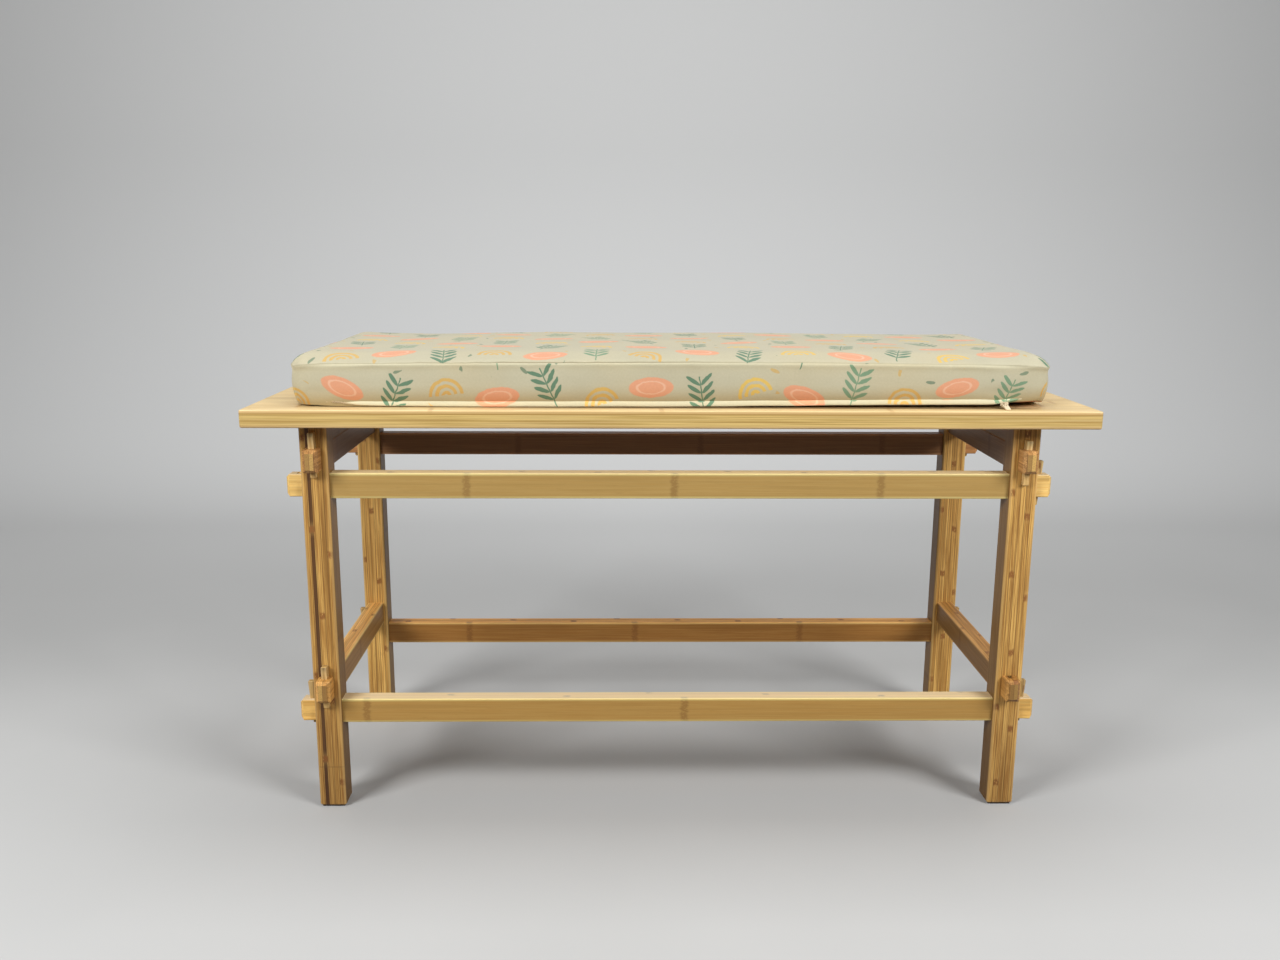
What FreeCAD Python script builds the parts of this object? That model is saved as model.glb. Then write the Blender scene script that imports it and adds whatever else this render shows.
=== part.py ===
import FreeCAD, Part
import Sketcher
import os

# A knock-down bamboo bench with a loose box cushion.
# Four square legs are joined by eight rails. Every rail ends in a tenon that goes right through
# its leg and is locked by a tapered wedge. The seat board rests on the leg tops and on the upper
# side rails, located between the legs by two battens. Nothing is glued to the frame.
#
# Millimetres. X runs left to right, Y from the front (negative) to the back, Z up from the floor.
# The origin is on the floor under the middle of the bench.

doc = FreeCAD.newDocument("BambooBench")
sheet = doc.addObject("Spreadsheet::Sheet", "Sizes")

SIZES = (
    ("frame_width", 800, "over the legs, left to right"),
    ("frame_depth", 288, "over the legs, front to back"),
    ("seat_underside", 447, "height of the seat board's lower face"),
    ("leg_side", 30, "side of a leg's square section"),
    ("leg_ease", 3, "rounding of a leg's long edges"),
    ("leg_foot_bevel", 1.5, "bevel round a leg's lower end"),
    ("glide_side", 25, "side of the pad under a leg"),
    ("glide_thickness", 2, "thickness of the pad under a leg"),
    ("rail_height", 28, "height of a rail's section"),
    ("rail_thickness", 20, "thickness of a rail's section"),
    ("rail_ease", 1.5, "rounding of a rail's long edges"),
    ("lower_rail_level", 102, "underside of the lower long rails"),
    ("batten_height", 25.5, "from the upper side rails up to the seat board"),
    ("rail_step", 2.5, "side rails start this far above the long rails"),
    ("tenon_height", 25, "height of a tenon"),
    ("tenon_thickness", 16, "thickness of a tenon"),
    ("tenon_reach", 18, "how far a tenon stands out of its leg"),
    ("tenon_ease", 1.5, "rounding of a tenon's long edges"),
    ("tenon_bevel", 3.5, "bevel round a tenon's end"),
    ("tenon_clearance", 0.05, "room round a tenon in its leg"),
    ("wedge_length", 50, "length of a wedge"),
    ("wedge_width", 6, "width of a wedge, across its tenon"),
    ("wedge_head_depth", 9, "depth of a wedge at its head"),
    ("wedge_tip_depth", 5, "depth of a wedge at its tip"),
    ("wedge_bevel", 0.7, "bevel round both ends of a wedge"),
    ("wedge_clearance", 0.06, "running room round a wedge"),
    ("wedge_slot_recess", 1.5, "a wedge's slot starts this far inside the leg"),
    ("wedge_slot_margin", 1, "a slot's cut runs this far past the tenon"),
    ("long_head", 20.5, "wedge head above a long rail's tenon"),
    ("long_head_driven", 15, "the same, the wedge driven deeper"),
    ("side_head", 17.5, "wedge head above a side rail's tenon"),
    ("side_head_driven", 10, "the same, the wedge driven deeper"),
    ("side_head_between", 14.5, "the same, the wedge driven a little deeper"),
    ("board_end_overhang", 50, "seat board past the legs at each end"),
    ("board_front_overhang", 36, "seat board past the legs at front and back"),
    ("board_thickness", 19, "thickness of the seat board"),
    ("board_corner", 3, "rounding of the seat board's upright corners"),
    ("board_ease", 1.8, "rounding of the seat board's edges"),
    ("batten_thickness", 20, "thickness of a batten under the board"),
    ("batten_room", 0.6, "room between a batten and each leg"),
    ("batten_ease", 1, "rounding of a batten's long lower edges"),
    ("screw_spacing", 75, "spacing of the screws along a batten"),
    ("screw_head_width", 7, "diameter of a screw's head"),
    ("screw_head_height", 2.4, "height of a screw's head"),
    ("screw_shank_width", 4, "diameter of a screw's shank"),
    ("screw_bite", 11.5, "how far a screw bites into the seat board"),
    ("screw_tip", 4, "length of a screw's point"),
    ("screw_sink", 3, "depth of the recess for a screw's head"),
    ("screw_room", 0.3, "room round a screw's head in its recess"),
    ("cushion_end_margin", 47, "bare board beside each end of the cushion"),
    ("cushion_front_margin", 25, "bare board in front of and behind the cushion"),
    ("cushion_edge", 48, "height of the cushion at its top seam"),
    ("cushion_crown", 10, "rise of the cushion above its top seam"),
    ("cushion_draw", 4, "how far the top seam draws in between the corners"),
    ("cushion_bulge", 2.5, "how far a side bulges between its seams"),
    ("cushion_band", 8.5, "height of the upright band that holds the zip"),
    ("cushion_corner", 7, "how far the corners and ends round off"),
    ("cover_thickness", 1.2, "thickness of the cushion's cover"),
    ("zip_end_margin", 38, "from each end of the cushion to the zip's tape"),
    ("zip_height", 6.8, "height of the zip's tape"),
    ("zip_thickness", 1.2, "thickness of the zip's tape"),
    ("zip_room", 0.45, "room between the tape and the cushion's band"),
    ("zip_lift", 0.8, "height of the tape's lower edge over the board"),
    ("slider_length", 8, "length of the zip's slider along the tape"),
    ("slider_height", 5.6, "height of the slider"),
    ("slider_thickness", 1.8, "thickness of the slider's plate"),
    ("slider_room", 0.15, "running room between slider and tape"),
    ("slider_from_end", 13, "the closed slider's middle to the end of the tape"),
    ("loop_width", 1.8, "width of the slider's loop"),
    ("loop_reach", 3.2, "how far the slider's loop stands out"),
    ("loop_height", 3.8, "height of the slider's loop"),
    ("loop_wall", 0.9, "wall of the slider's loop"),
    ("pull_length", 13, "length of the zip's pull"),
    ("pull_width", 5.5, "width of the zip's pull"),
    ("pull_thickness", 1, "thickness of the zip's pull"),
    ("pull_window", 3.6, "length of the window in the pull"),
    ("pull_bar", 1, "width of the bar that the loop holds"),
    ("pull_droop", 15.5, "degrees that the resting pull slopes down"),
)


def fill_sheet():
    """One row per size: its name, its value with that name as alias, and what it is."""
    for row, (name, number, meaning) in enumerate(SIZES, start=1):
        sheet.set("A%d" % row, name)
        sheet.set("B%d" % row, str(number))
        sheet.setAlias("B%d" % row, name)
        sheet.set("C%d" % row, meaning)
    doc.recompute()


def size(name):
    """The value of one named size."""
    return float(sheet.get(name))


def expr(text):
    """An expression in which each word that names a size is read from the sheet."""
    names = {name for name, number, meaning in SIZES}
    words = text.replace("(", " ( ").replace(")", " ) ").split()
    return " ".join("Sizes." + word if word in names else word for word in words)


def worth(text):
    """The present value of such an expression."""
    return float(sheet.evalExpression(expr(text)))


def place(item, x="0", y="0", z="0", axis=(0, 0, 1), turn=0):
    """Sets an object's placement and ties its three coordinates to the sheet."""
    spin = FreeCAD.Rotation(FreeCAD.Vector(*axis), turn)
    item.Placement = FreeCAD.Placement(FreeCAD.Vector(worth(x), worth(y), worth(z)), spin)
    for key, text in (("x", x), ("y", y), ("z", z)):
        item.setExpression(".Placement.Base." + key, expr(text))


def new_body(label):
    body = doc.addObject("PartDesign::Body", label)
    body.Label = label
    return body


def new_sketch(body, name, role):
    """A sketch on one of the body's own origin planes."""
    sketch = body.newObject("Sketcher::SketchObject", body.Label + "_" + name)
    plane = [item for item in body.Origin.OriginFeatures if item.Role == role][0]
    sketch.AttachmentSupport = [(plane, "")]
    sketch.MapMode = "FlatFace"
    return sketch


def pin_corner(sketch, line, axis, text):
    """Holds the start of a line at a signed distance from the sketch's origin."""
    value = worth(text)
    kind = "Distance" + axis
    if abs(value) < 1e-9:
        sketch.addConstraint(Sketcher.Constraint("PointOnObject", line, 1, -2 if axis == "X" else -1))
        return
    if value > 0:
        index = sketch.addConstraint(Sketcher.Constraint(kind, -1, 1, line, 1, value))
        sketch.setExpression("Constraints[%d]" % index, expr(text))
    else:
        index = sketch.addConstraint(Sketcher.Constraint(kind, line, 1, -1, 1, -value))
        sketch.setExpression("Constraints[%d]" % index, expr("-1 * (" + text + ")"))


def outline(sketch, corners):
    """A closed outline; each corner is a pair of expressions."""
    points = [FreeCAD.Vector(worth(x), worth(y), 0) for x, y in corners]
    first = sketch.GeometryCount
    count = len(points)
    for number in range(count):
        sketch.addGeometry(Part.LineSegment(points[number], points[(number + 1) % count]), False)
    for number in range(count):
        after = first + (number + 1) % count
        sketch.addConstraint(Sketcher.Constraint("Coincident", first + number, 2, after, 1))
    for number, (x, y) in enumerate(corners):
        pin_corner(sketch, first + number, "X", x)
        pin_corner(sketch, first + number, "Y", y)


def rectangle(sketch, x_low, x_high, y_low, y_high):
    outline(sketch, ((x_low, y_low), (x_high, y_low), (x_high, y_high), (x_low, y_high)))


def circles(sketch, centres, diameter):
    """Circles of one diameter; each centre is a pair of expressions."""
    for x, y in centres:
        middle = FreeCAD.Vector(worth(x), worth(y), 0)
        number = sketch.addGeometry(Part.Circle(middle, FreeCAD.Vector(0, 0, 1), worth(diameter) / 2), False)
        index = sketch.addConstraint(Sketcher.Constraint("Diameter", number, worth(diameter)))
        sketch.setExpression("Constraints[%d]" % index, expr(diameter))
        for axis, text in (("X", x), ("Y", y)):
            value = worth(text)
            kind = "Distance" + axis
            if abs(value) < 1e-9:
                line = -2 if axis == "X" else -1
                sketch.addConstraint(Sketcher.Constraint("PointOnObject", number, 3, line))
            elif value > 0:
                index = sketch.addConstraint(Sketcher.Constraint(kind, -1, 1, number, 3, value))
                sketch.setExpression("Constraints[%d]" % index, expr(text))
            else:
                index = sketch.addConstraint(Sketcher.Constraint(kind, number, 3, -1, 1, -value))
                sketch.setExpression("Constraints[%d]" % index, expr("-1 * (" + text + ")"))


def pad(body, name, sketch, length, middle=False):
    feature = body.newObject("PartDesign::Pad", body.Label + "_" + name)
    feature.Profile = sketch
    feature.Midplane = middle
    feature.setExpression("Length", expr(length))
    doc.recompute()
    return feature


def pocket(body, name, sketch, length=None, middle=False, reverse=False):
    """Cuts a pocket, right through where no length is given, and sees that it removed something."""
    before = body.Shape.Volume
    feature = body.newObject("PartDesign::Pocket", body.Label + "_" + name)
    feature.Profile = sketch
    feature.Midplane = middle
    feature.Reversed = reverse
    if length is None:
        feature.Type = "ThroughAll"
    else:
        feature.setExpression("Length", expr(length))
    doc.recompute()
    if body.Shape.Volume > before - 0.5:
        raise RuntimeError(feature.Name + " cuts nothing")
    return feature


def edge_names(feature, wanted):
    """Names of a feature's edges that pass a test of their bounding box."""
    names = []
    for number, edge in enumerate(feature.Shape.Edges, start=1):
        if wanted(edge.BoundBox):
            names.append("Edge%d" % number)
    return names


def ease(body, name, kind, feature, wanted, amount):
    """A Fillet or a Chamfer on the edges of a feature that pass a test."""
    result = body.newObject("PartDesign::" + kind, body.Label + "_" + name)
    result.Base = (feature, edge_names(feature, wanted))
    result.setExpression("Radius" if kind == "Fillet" else "Size", expr(amount))
    doc.recompute()
    return result


def near(value, target):
    return abs(value - target) < 0.01


# Heights that several pieces share: undersides of the side rails and of the tenons.
TENON_INSET = "(rail_height - tenon_height) / 2"
LEVELS = {
    "long_lower": "lower_rail_level",
    "long_upper": "(seat_underside - batten_height - 2 * rail_height - rail_step)",
    "side_lower": "(lower_rail_level + rail_height + rail_step)",
    "side_upper": "(seat_underside - batten_height - rail_height)",
}
LEG_X = "(frame_width - leg_side) / 2"
LEG_Y = "(frame_depth - leg_side) / 2"
SEAT_TOP = "(seat_underside + board_thickness)"
BOARD_LENGTH = "(frame_width + 2 * board_end_overhang)"
BOARD_DEPTH = "(frame_depth + 2 * board_front_overhang)"
CUSHION_LENGTH = "(%s - 2 * cushion_end_margin)" % BOARD_LENGTH
CUSHION_DEPTH = "(%s - 2 * cushion_front_margin)" % BOARD_DEPTH
ZIP_LENGTH = "(%s - 2 * zip_end_margin)" % CUSHION_LENGTH


def mortise(body, name, role, level):
    """A tenon's slot right through a leg, seen along the tenon."""
    low = "%s + %s - glide_thickness - tenon_clearance" % (LEVELS[level], TENON_INSET)
    high = "%s + %s - glide_thickness + tenon_height + tenon_clearance" % (LEVELS[level], TENON_INSET)
    half = "(tenon_thickness / 2 + tenon_clearance)"
    sketch = new_sketch(body, name + "_outline", role)
    rectangle(sketch, "-1 * " + half, half, low, high)
    return pocket(body, name, sketch, middle=True)


def make_leg(label, x_sign, y_sign):
    """A square leg with four through mortises; its own origin is the middle of its lower end."""
    body = new_body(label)
    half = "leg_side / 2"
    sketch = new_sketch(body, "section", "XY_Plane")
    rectangle(sketch, "-1 * " + half, half, "-1 * " + half, half)
    post = pad(body, "post", sketch, "seat_underside - glide_thickness")
    tall = size("seat_underside") - size("glide_thickness")
    edges = ease(body, "long_edges", "Fillet", post, lambda box: near(box.ZLength, tall), "leg_ease")
    ease(body, "foot", "Chamfer", edges, lambda box: near(box.ZMax, 0), "leg_foot_bevel")
    for level in ("long_lower", "long_upper"):
        mortise(body, level, "YZ_Plane", level)
    for level in ("side_lower", "side_upper"):
        last = mortise(body, level, "XZ_Plane", level)
    through = size("leg_side")

    def slot_edge(box):
        flat = near(box.ZLength, 0) and box.ZMin > 10
        along_x = near(box.XLength, through) and near(box.YLength, 0)
        along_y = near(box.YLength, through) and near(box.XLength, 0)
        return flat and box.ZMax < tall - 1 and (along_x or along_y)

    ease(body, "slot_corners", "Fillet", last, slot_edge, "tenon_ease + tenon_clearance")
    place(body, "%d * %s" % (x_sign, LEG_X), "%d * %s" % (y_sign, LEG_Y), "glide_thickness")
    return body


def slot_face(head, below):
    """How far a slot's sloping wall stands from the leg, a given depth below the tenon's top."""
    slope = "(wedge_head_depth - wedge_tip_depth) / wedge_length"
    return "(wedge_head_depth - %s * (%s + %s) + 2 * wedge_clearance)" % (slope, head, below)


def wedge_slot(body, name, side, face, head):
    """The tapered slot for a wedge through one tenon, on the side given as -1 or 1."""
    top = "tenon_height / 2 + wedge_slot_margin"
    inner = "%d * (%s - wedge_slot_recess)" % (side, face)
    upper = "%d * (%s + %s)" % (side, face, slot_face(head, "-1 * wedge_slot_margin"))
    lower = "%d * (%s + %s)" % (side, face, slot_face(head, "tenon_height + wedge_slot_margin"))
    sketch = new_sketch(body, name + "_outline", "XZ_Plane")
    outline(sketch, ((inner, "-1 * (" + top + ")"), (lower, "-1 * (" + top + ")"), (upper, top), (inner, top)))
    pocket(body, name, sketch, "wedge_width + 2 * wedge_clearance", middle=True)


def make_rail(label, span, heads):
    """A rail along its own X axis: a long tenon bar with the thicker rail between the shoulders."""
    body = new_body(label)
    shoulder = "%s - 2 * leg_side" % span
    overall = "%s + 2 * tenon_reach" % span
    bar = new_sketch(body, "tenon_section", "YZ_Plane")
    rectangle(bar, "-1 * tenon_thickness / 2", "tenon_thickness / 2", "-1 * tenon_height / 2", "tenon_height / 2")
    tenon = pad(body, "tenons", bar, overall, middle=True)
    reach = worth(overall)
    tenon = ease(body, "tenon_ends", "Chamfer", tenon, lambda box: near(box.XLength, 0), "tenon_bevel")
    ease(body, "tenon_edges", "Fillet", tenon,
         lambda box: near(box.XLength, reach - 2 * size("tenon_bevel")), "tenon_ease")
    section = new_sketch(body, "rail_section", "YZ_Plane")
    rectangle(section, "-1 * rail_thickness / 2", "rail_thickness / 2", "-1 * rail_height / 2", "rail_height / 2")
    rail = pad(body, "rail", section, shoulder, middle=True)
    between = worth(shoulder)
    ease(body, "rail_edges", "Fillet", rail, lambda box: near(box.XLength, between), "rail_ease")
    for name, side, head in heads:
        wedge_slot(body, name, side, "%s / 2" % span, head)
    return body


def make_wedge(label, x, y, top, turn):
    """A wedge whose flat face lies on the leg; its own origin is at its head, on that face."""
    body = new_body(label)
    sketch = new_sketch(body, "taper", "XZ_Plane")
    foot = "-1 * wedge_length"
    outline(sketch, (("0", "0"), ("0", foot), ("wedge_tip_depth", foot), ("wedge_head_depth", "0")))
    block = pad(body, "block", sketch, "wedge_width", middle=True)
    low = -size("wedge_length")
    ease(body, "ends", "Chamfer", block,
         lambda box: near(box.ZLength, 0) and (near(box.ZMax, 0) or near(box.ZMax, low)), "wedge_bevel")
    place(body, x, y, top, turn=turn)
    return body


def make_frame():
    """Legs with their pads, then the rails, then a wedge for each filled slot."""
    for y_name, y_sign in (("front", -1), ("back", 1)):
        for x_name, x_sign in (("left", -1), ("right", 1)):
            corner = "%s_%s" % (y_name, x_name)
            make_leg("leg_" + corner, x_sign, y_sign)
            make_glide("glide_" + corner, x_sign, y_sign)
    middle = "rail_height / 2"
    for y_name, y_sign in (("front", -1), ("back", 1)):
        for level in ("lower", "upper"):
            heads = long_heads(y_name, level)
            rail = make_rail("rail_%s_%s" % (y_name, level), "frame_width", heads)
            place(rail, "0", "%d * %s" % (y_sign, LEG_Y), "%s + %s" % (LEVELS["long_" + level], middle))
    for x_name, x_sign in (("left", -1), ("right", 1)):
        for level in ("lower", "upper"):
            heads = side_heads(x_name, level)
            rail = make_rail("rail_%s_%s" % (x_name, level), "frame_depth", heads)
            place(rail, "%d * %s" % (x_sign, LEG_X), "0", "%s + %s" % (LEVELS["side_" + level], middle), turn=90)


def long_heads(y_name, level):
    """Slot name, end and wedge height at both ends of a long rail."""
    driven = y_name == "front" and level == "upper"
    return (("left", -1, "long_head"), ("right", 1, "long_head_driven" if driven else "long_head"))


def side_heads(x_name, level):
    """Slot name, end and wedge height at both ends of a side rail."""
    front = {("right", "upper"): "side_head_driven", ("left", "lower"): "side_head_between"}
    return (("front", -1, front.get((x_name, level), "side_head")), ("back", 1, "side_head"))


def make_glide(label, x_sign, y_sign):
    """A thin pad under a leg."""
    glide = doc.addObject("Part::Box", label)
    glide.Label = label
    glide.setExpression("Length", expr("glide_side"))
    glide.setExpression("Width", expr("glide_side"))
    glide.setExpression("Height", expr("glide_thickness"))
    half = "glide_side / 2"
    place(glide, "%d * %s - %s" % (x_sign, LEG_X, half), "%d * %s - %s" % (y_sign, LEG_Y, half), "0")


# Two of the sixteen slots stand empty.
EMPTY_SLOTS = (("front", "upper", "left"), ("right", "lower", "front"))


def make_wedges():
    """The fourteen wedges, each with its flat face on its leg."""
    for y_name, y_sign in (("front", -1), ("back", 1)):
        for level in ("lower", "upper"):
            for end, side, head in long_heads(y_name, level):
                if (y_name, level, end) in EMPTY_SLOTS:
                    continue
                top = "%s + %s + tenon_height + %s" % (LEVELS["long_" + level], TENON_INSET, head)
                x = "%d * (frame_width / 2 + wedge_clearance)" % side
                y = "%d * %s" % (y_sign, LEG_Y)
                make_wedge("wedge_%s_%s_%s" % (y_name, level, end), x, y, top, 0 if side > 0 else 180)
    for x_name, x_sign in (("left", -1), ("right", 1)):
        for level in ("lower", "upper"):
            for end, side, head in side_heads(x_name, level):
                if (x_name, level, end) in EMPTY_SLOTS:
                    continue
                top = "%s + %s + tenon_height + %s" % (LEVELS["side_" + level], TENON_INSET, head)
                x = "%d * %s" % (x_sign, LEG_X)
                y = "%d * (frame_depth / 2 + wedge_clearance)" % side
                make_wedge("wedge_%s_%s_%s" % (x_name, level, end), x, y, top, 90 * side)


def screw_centres(x=""):
    """The three screw places along a batten."""
    return [(x, "-1 * screw_spacing"), (x, "0"), (x, "screw_spacing")]


BATTEN_FOOT = "(%s + rail_height)" % LEVELS["side_upper"]
SCREW_LENGTH = "(batten_height - screw_sink + screw_bite)"


def make_board():
    """The seat board, with pilot holes for the batten screws in its lower face."""
    body = new_body("seat_board")
    sketch = new_sketch(body, "plan", "XY_Plane")
    rectangle(sketch, "-1 * %s / 2" % BOARD_LENGTH, "%s / 2" % BOARD_LENGTH,
              "-1 * %s / 2" % BOARD_DEPTH, "%s / 2" % BOARD_DEPTH)
    slab = pad(body, "slab", sketch, "board_thickness")
    thick = size("board_thickness")
    slab = ease(body, "corners", "Fillet", slab, lambda box: near(box.ZLength, thick), "board_corner")
    ease(body, "edges", "Fillet", slab,
         lambda box: near(box.ZLength, 0) and (near(box.ZMin, 0) or near(box.ZMin, thick)), "board_ease")
    holes = new_sketch(body, "pilot_holes_plan", "XY_Plane")
    circles(holes, screw_centres(LEG_X) + screw_centres("-1 * " + LEG_X), "screw_shank_width")
    pocket(body, "pilot_holes", holes, "screw_bite", reverse=True)
    place(body, "0", "0", "seat_underside")


def make_batten(label, x_sign):
    """A batten under the board, between two legs, with recessed screw holes from below."""
    body = new_body(label)
    sketch = new_sketch(body, "plan", "XY_Plane")
    half = "(frame_depth / 2 - leg_side - batten_room)"
    rectangle(sketch, "-1 * batten_thickness / 2", "batten_thickness / 2", "-1 * " + half, half)
    bar = pad(body, "bar", sketch, "batten_height")
    along = 2 * worth(half)
    ease(body, "edges", "Fillet", bar, lambda box: near(box.YLength, along) and near(box.ZMax, 0), "batten_ease")
    shank = new_sketch(body, "shank_holes_plan", "XY_Plane")
    circles(shank, screw_centres("0"), "screw_shank_width")
    pocket(body, "shank_holes", shank, reverse=True)
    recess = new_sketch(body, "head_recesses_plan", "XY_Plane")
    circles(recess, screw_centres("0"), "screw_head_width + 2 * screw_room")
    pocket(body, "head_recesses", recess, "screw_sink", reverse=True)
    place(body, "%d * %s" % (x_sign, LEG_X), "0", BATTEN_FOOT)


def screw_solid(x, y, foot):
    """A domed wood screw that points up, with its head's bearing face at the top of its recess."""
    head = size("screw_head_width") / 2
    shank = size("screw_shank_width") / 2
    dome = size("screw_head_height")
    end = worth(SCREW_LENGTH)
    point = end - size("screw_tip")
    rim = 0.25 * dome
    low = Part.LineSegment(FreeCAD.Vector(0, 0, end), FreeCAD.Vector(0, 0, -dome)).toShape()
    crown = Part.Arc(FreeCAD.Vector(0, 0, -dome), FreeCAD.Vector(head * 0.72, 0, -dome * 0.72),
                     FreeCAD.Vector(head, 0, -rim)).toShape()
    rest = Part.makePolygon([FreeCAD.Vector(head, 0, -rim), FreeCAD.Vector(head, 0, 0),
                             FreeCAD.Vector(shank, 0, 0), FreeCAD.Vector(shank, 0, point),
                             FreeCAD.Vector(0, 0, end)])
    profile = Part.Face(Part.Wire([low, crown] + rest.Edges))
    solid = profile.revolve(FreeCAD.Vector(0, 0, 0), FreeCAD.Vector(0, 0, 1), 360)
    solid.translate(FreeCAD.Vector(x, y, foot + size("screw_sink")))
    return solid


def make_screws():
    """All six batten screws, as one group of separate solids."""
    solids = []
    for x_sign in (-1, 1):
        for step in (-1, 0, 1):
            solids.append(screw_solid(x_sign * worth(LEG_X), step * size("screw_spacing"), worth(BATTEN_FOOT)))
    screws = doc.addObject("Part::Feature", "batten_screws")
    screws.Label = "batten_screws"
    screws.Shape = Part.makeCompound(solids)


def cushion_section(x, depth, edge, crown, draw, bulge, band, base):
    """One upright cross-section of the cushion: flat base, upright bands, bulging sides, crown."""
    half = depth / 2
    seam = half - draw

    def at(y, z):
        return FreeCAD.Vector(x, y, base + z)

    def crown_at(y):
        share = abs(y) / seam
        return edge + crown * (0.75 * (1 - share ** 12) + 0.25 * (1 - share ** 2))

    rise = (band + edge) / 2
    lean = (half + seam) / 2 + bulge
    shoulder = 0.72 * seam
    outer = 0.91 * seam
    edges = [
        Part.LineSegment(at(half, 0), at(-half, 0)),
        Part.LineSegment(at(-half, 0), at(-half, band)),
        Part.Arc(at(-half, band), at(-lean, rise), at(-seam, edge)),
        Part.Arc(at(-seam, edge), at(-outer, crown_at(outer)), at(-shoulder, crown_at(shoulder))),
        Part.Arc(at(-shoulder, crown_at(shoulder)), at(0, crown_at(0)), at(shoulder, crown_at(shoulder))),
        Part.Arc(at(shoulder, crown_at(shoulder)), at(outer, crown_at(outer)), at(seam, edge)),
        Part.Arc(at(seam, edge), at(lean, rise), at(half, band)),
        Part.LineSegment(at(half, band), at(half, 0)),
    ]
    return Part.Wire([edge_curve.toShape() for edge_curve in edges])


def cushion_form(inset):
    """The cushion's outer form, or the same form a given distance inside it."""
    length = worth(CUSHION_LENGTH) - 2 * inset
    depth = worth(CUSHION_DEPTH) - 2 * inset
    edge = size("cushion_edge") - 2 * inset
    base = worth(SEAT_TOP) + inset
    corner = size("cushion_corner")
    stations = [(0, corner), (0.12 * corner, 0.55 * corner), (0.45 * corner, 0.18 * corner), (1.2 * corner, 0)]
    stations += [(2.6 * corner, 0)] + [(share * length / 2, 0) for share in (0.11, 0.2, 0.45, 0.7)]
    steps = [(from_end - length / 2, less) for from_end, less in stations] + [(0, 0)]
    steps += [(-x, less) for x, less in reversed(steps[:-1])]
    sections = []
    for x, less in steps:
        share = min(1, abs(x) / (length / 2))
        crown = size("cushion_crown") * (1 - share ** 50) + 0.2
        draw = size("cushion_draw") * (1 - share ** 2)
        sections.append(cushion_section(x, depth - 2 * less, edge - less, crown, draw,
                                        size("cushion_bulge"), size("cushion_band") - inset, base))
    return Part.makeLoft(sections, True, False)


def make_cushion():
    """The foam core and the cover that closes round it."""
    core = cushion_form(size("cover_thickness"))
    foam = doc.addObject("Part::Feature", "foam_core")
    foam.Label = "foam_core"
    foam.Shape = core
    cover = doc.addObject("Part::Feature", "cushion_cover")
    cover.Label = "cushion_cover"
    cover.Shape = cushion_form(0).cut(core)


TAPE_FACE = "(-1 * %s / 2 - zip_room - zip_thickness)" % CUSHION_DEPTH
SLIDER_FACE = "(%s - slider_room - slider_thickness)" % TAPE_FACE
SLIDER_X = "(%s / 2 - slider_from_end)" % ZIP_LENGTH
SLIDER_Z = "(%s + zip_lift + zip_height / 2)" % SEAT_TOP


def make_zip():
    """The tape along the lower front edge, its slider with a loop, and the pull that hangs in it."""
    tape = doc.addObject("Part::Box", "zip_tape")
    tape.Label = "zip_tape"
    tape.setExpression("Length", expr(ZIP_LENGTH))
    tape.setExpression("Width", expr("zip_thickness"))
    tape.setExpression("Height", expr("zip_height"))
    place(tape, "-1 * %s / 2" % ZIP_LENGTH, TAPE_FACE, "%s + zip_lift" % SEAT_TOP)

    slider = new_body("zip_slider")
    plate = new_sketch(slider, "plate_outline", "XZ_Plane")
    nose = "slider_length / 2"
    wide = "slider_height / 2"
    outline(plate, (
        ("-1 * " + nose, "-1 * slider_height / 4"), ("-1 * slider_length / 6", "-1 * " + wide),
        (nose, "-1 * " + wide), (nose, wide), ("-1 * slider_length / 6", wide),
        ("-1 * " + nose, "slider_height / 4"),
    ))
    plate_pad = pad(slider, "plate", plate, "slider_thickness")
    ease(slider, "plate_edges", "Fillet", plate_pad, lambda box: box.YLength > 0.5, "slider_height / 12")
    loop = new_sketch(slider, "loop_outline", "YZ_Plane")
    back = "-1 * slider_thickness / 2"
    tip = "-1 * (slider_thickness + loop_reach)"
    high = "loop_height / 2"
    rectangle(loop, tip, back, "-1 * " + high, high)
    pad(slider, "loop", loop, "loop_width", middle=True)
    hollow = new_sketch(slider, "loop_hollow_outline", "YZ_Plane")
    inner = "(loop_height / 2 - loop_wall)"
    rectangle(hollow, "-1 * (slider_thickness + loop_reach - loop_wall)", "-1 * slider_thickness",
              "-1 * " + inner, inner)
    pocket(slider, "loop_hollow", hollow, "loop_width * 2", middle=True)
    place(slider, SLIDER_X, "%s - slider_room" % TAPE_FACE, SLIDER_Z)

    pull = new_body("zip_pull")
    tab = new_sketch(pull, "tab_outline", "XY_Plane")
    edge = "pull_width / 2"
    far = "-1 * (pull_length - pull_bar / 2)"
    rectangle(tab, "-1 * " + edge, edge, far, "pull_bar / 2")
    tab_pad = pad(pull, "tab", tab, "pull_thickness", middle=True)
    thick = size("pull_thickness")
    tab_pad = ease(pull, "tab_corners", "Fillet", tab_pad,
                   lambda box: near(box.ZLength, thick) and box.YMax < -1, "pull_width / 4")
    window = new_sketch(pull, "window_outline", "XY_Plane")
    side = "(loop_width / 2 + loop_wall / 2)"
    rectangle(window, "-1 * " + side, side, "-1 * (pull_bar / 2 + pull_window)", "-1 * pull_bar / 2")
    pocket(pull, "window", window, "pull_thickness * 2", middle=True)
    hang = "%s - (loop_reach - loop_wall) / 2" % SLIDER_FACE
    place(pull, SLIDER_X, hang, SLIDER_Z, axis=(1, 0, 0), turn=size("pull_droop"))
    pull.setExpression(".Placement.Rotation.Angle", expr("pull_droop"))


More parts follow.
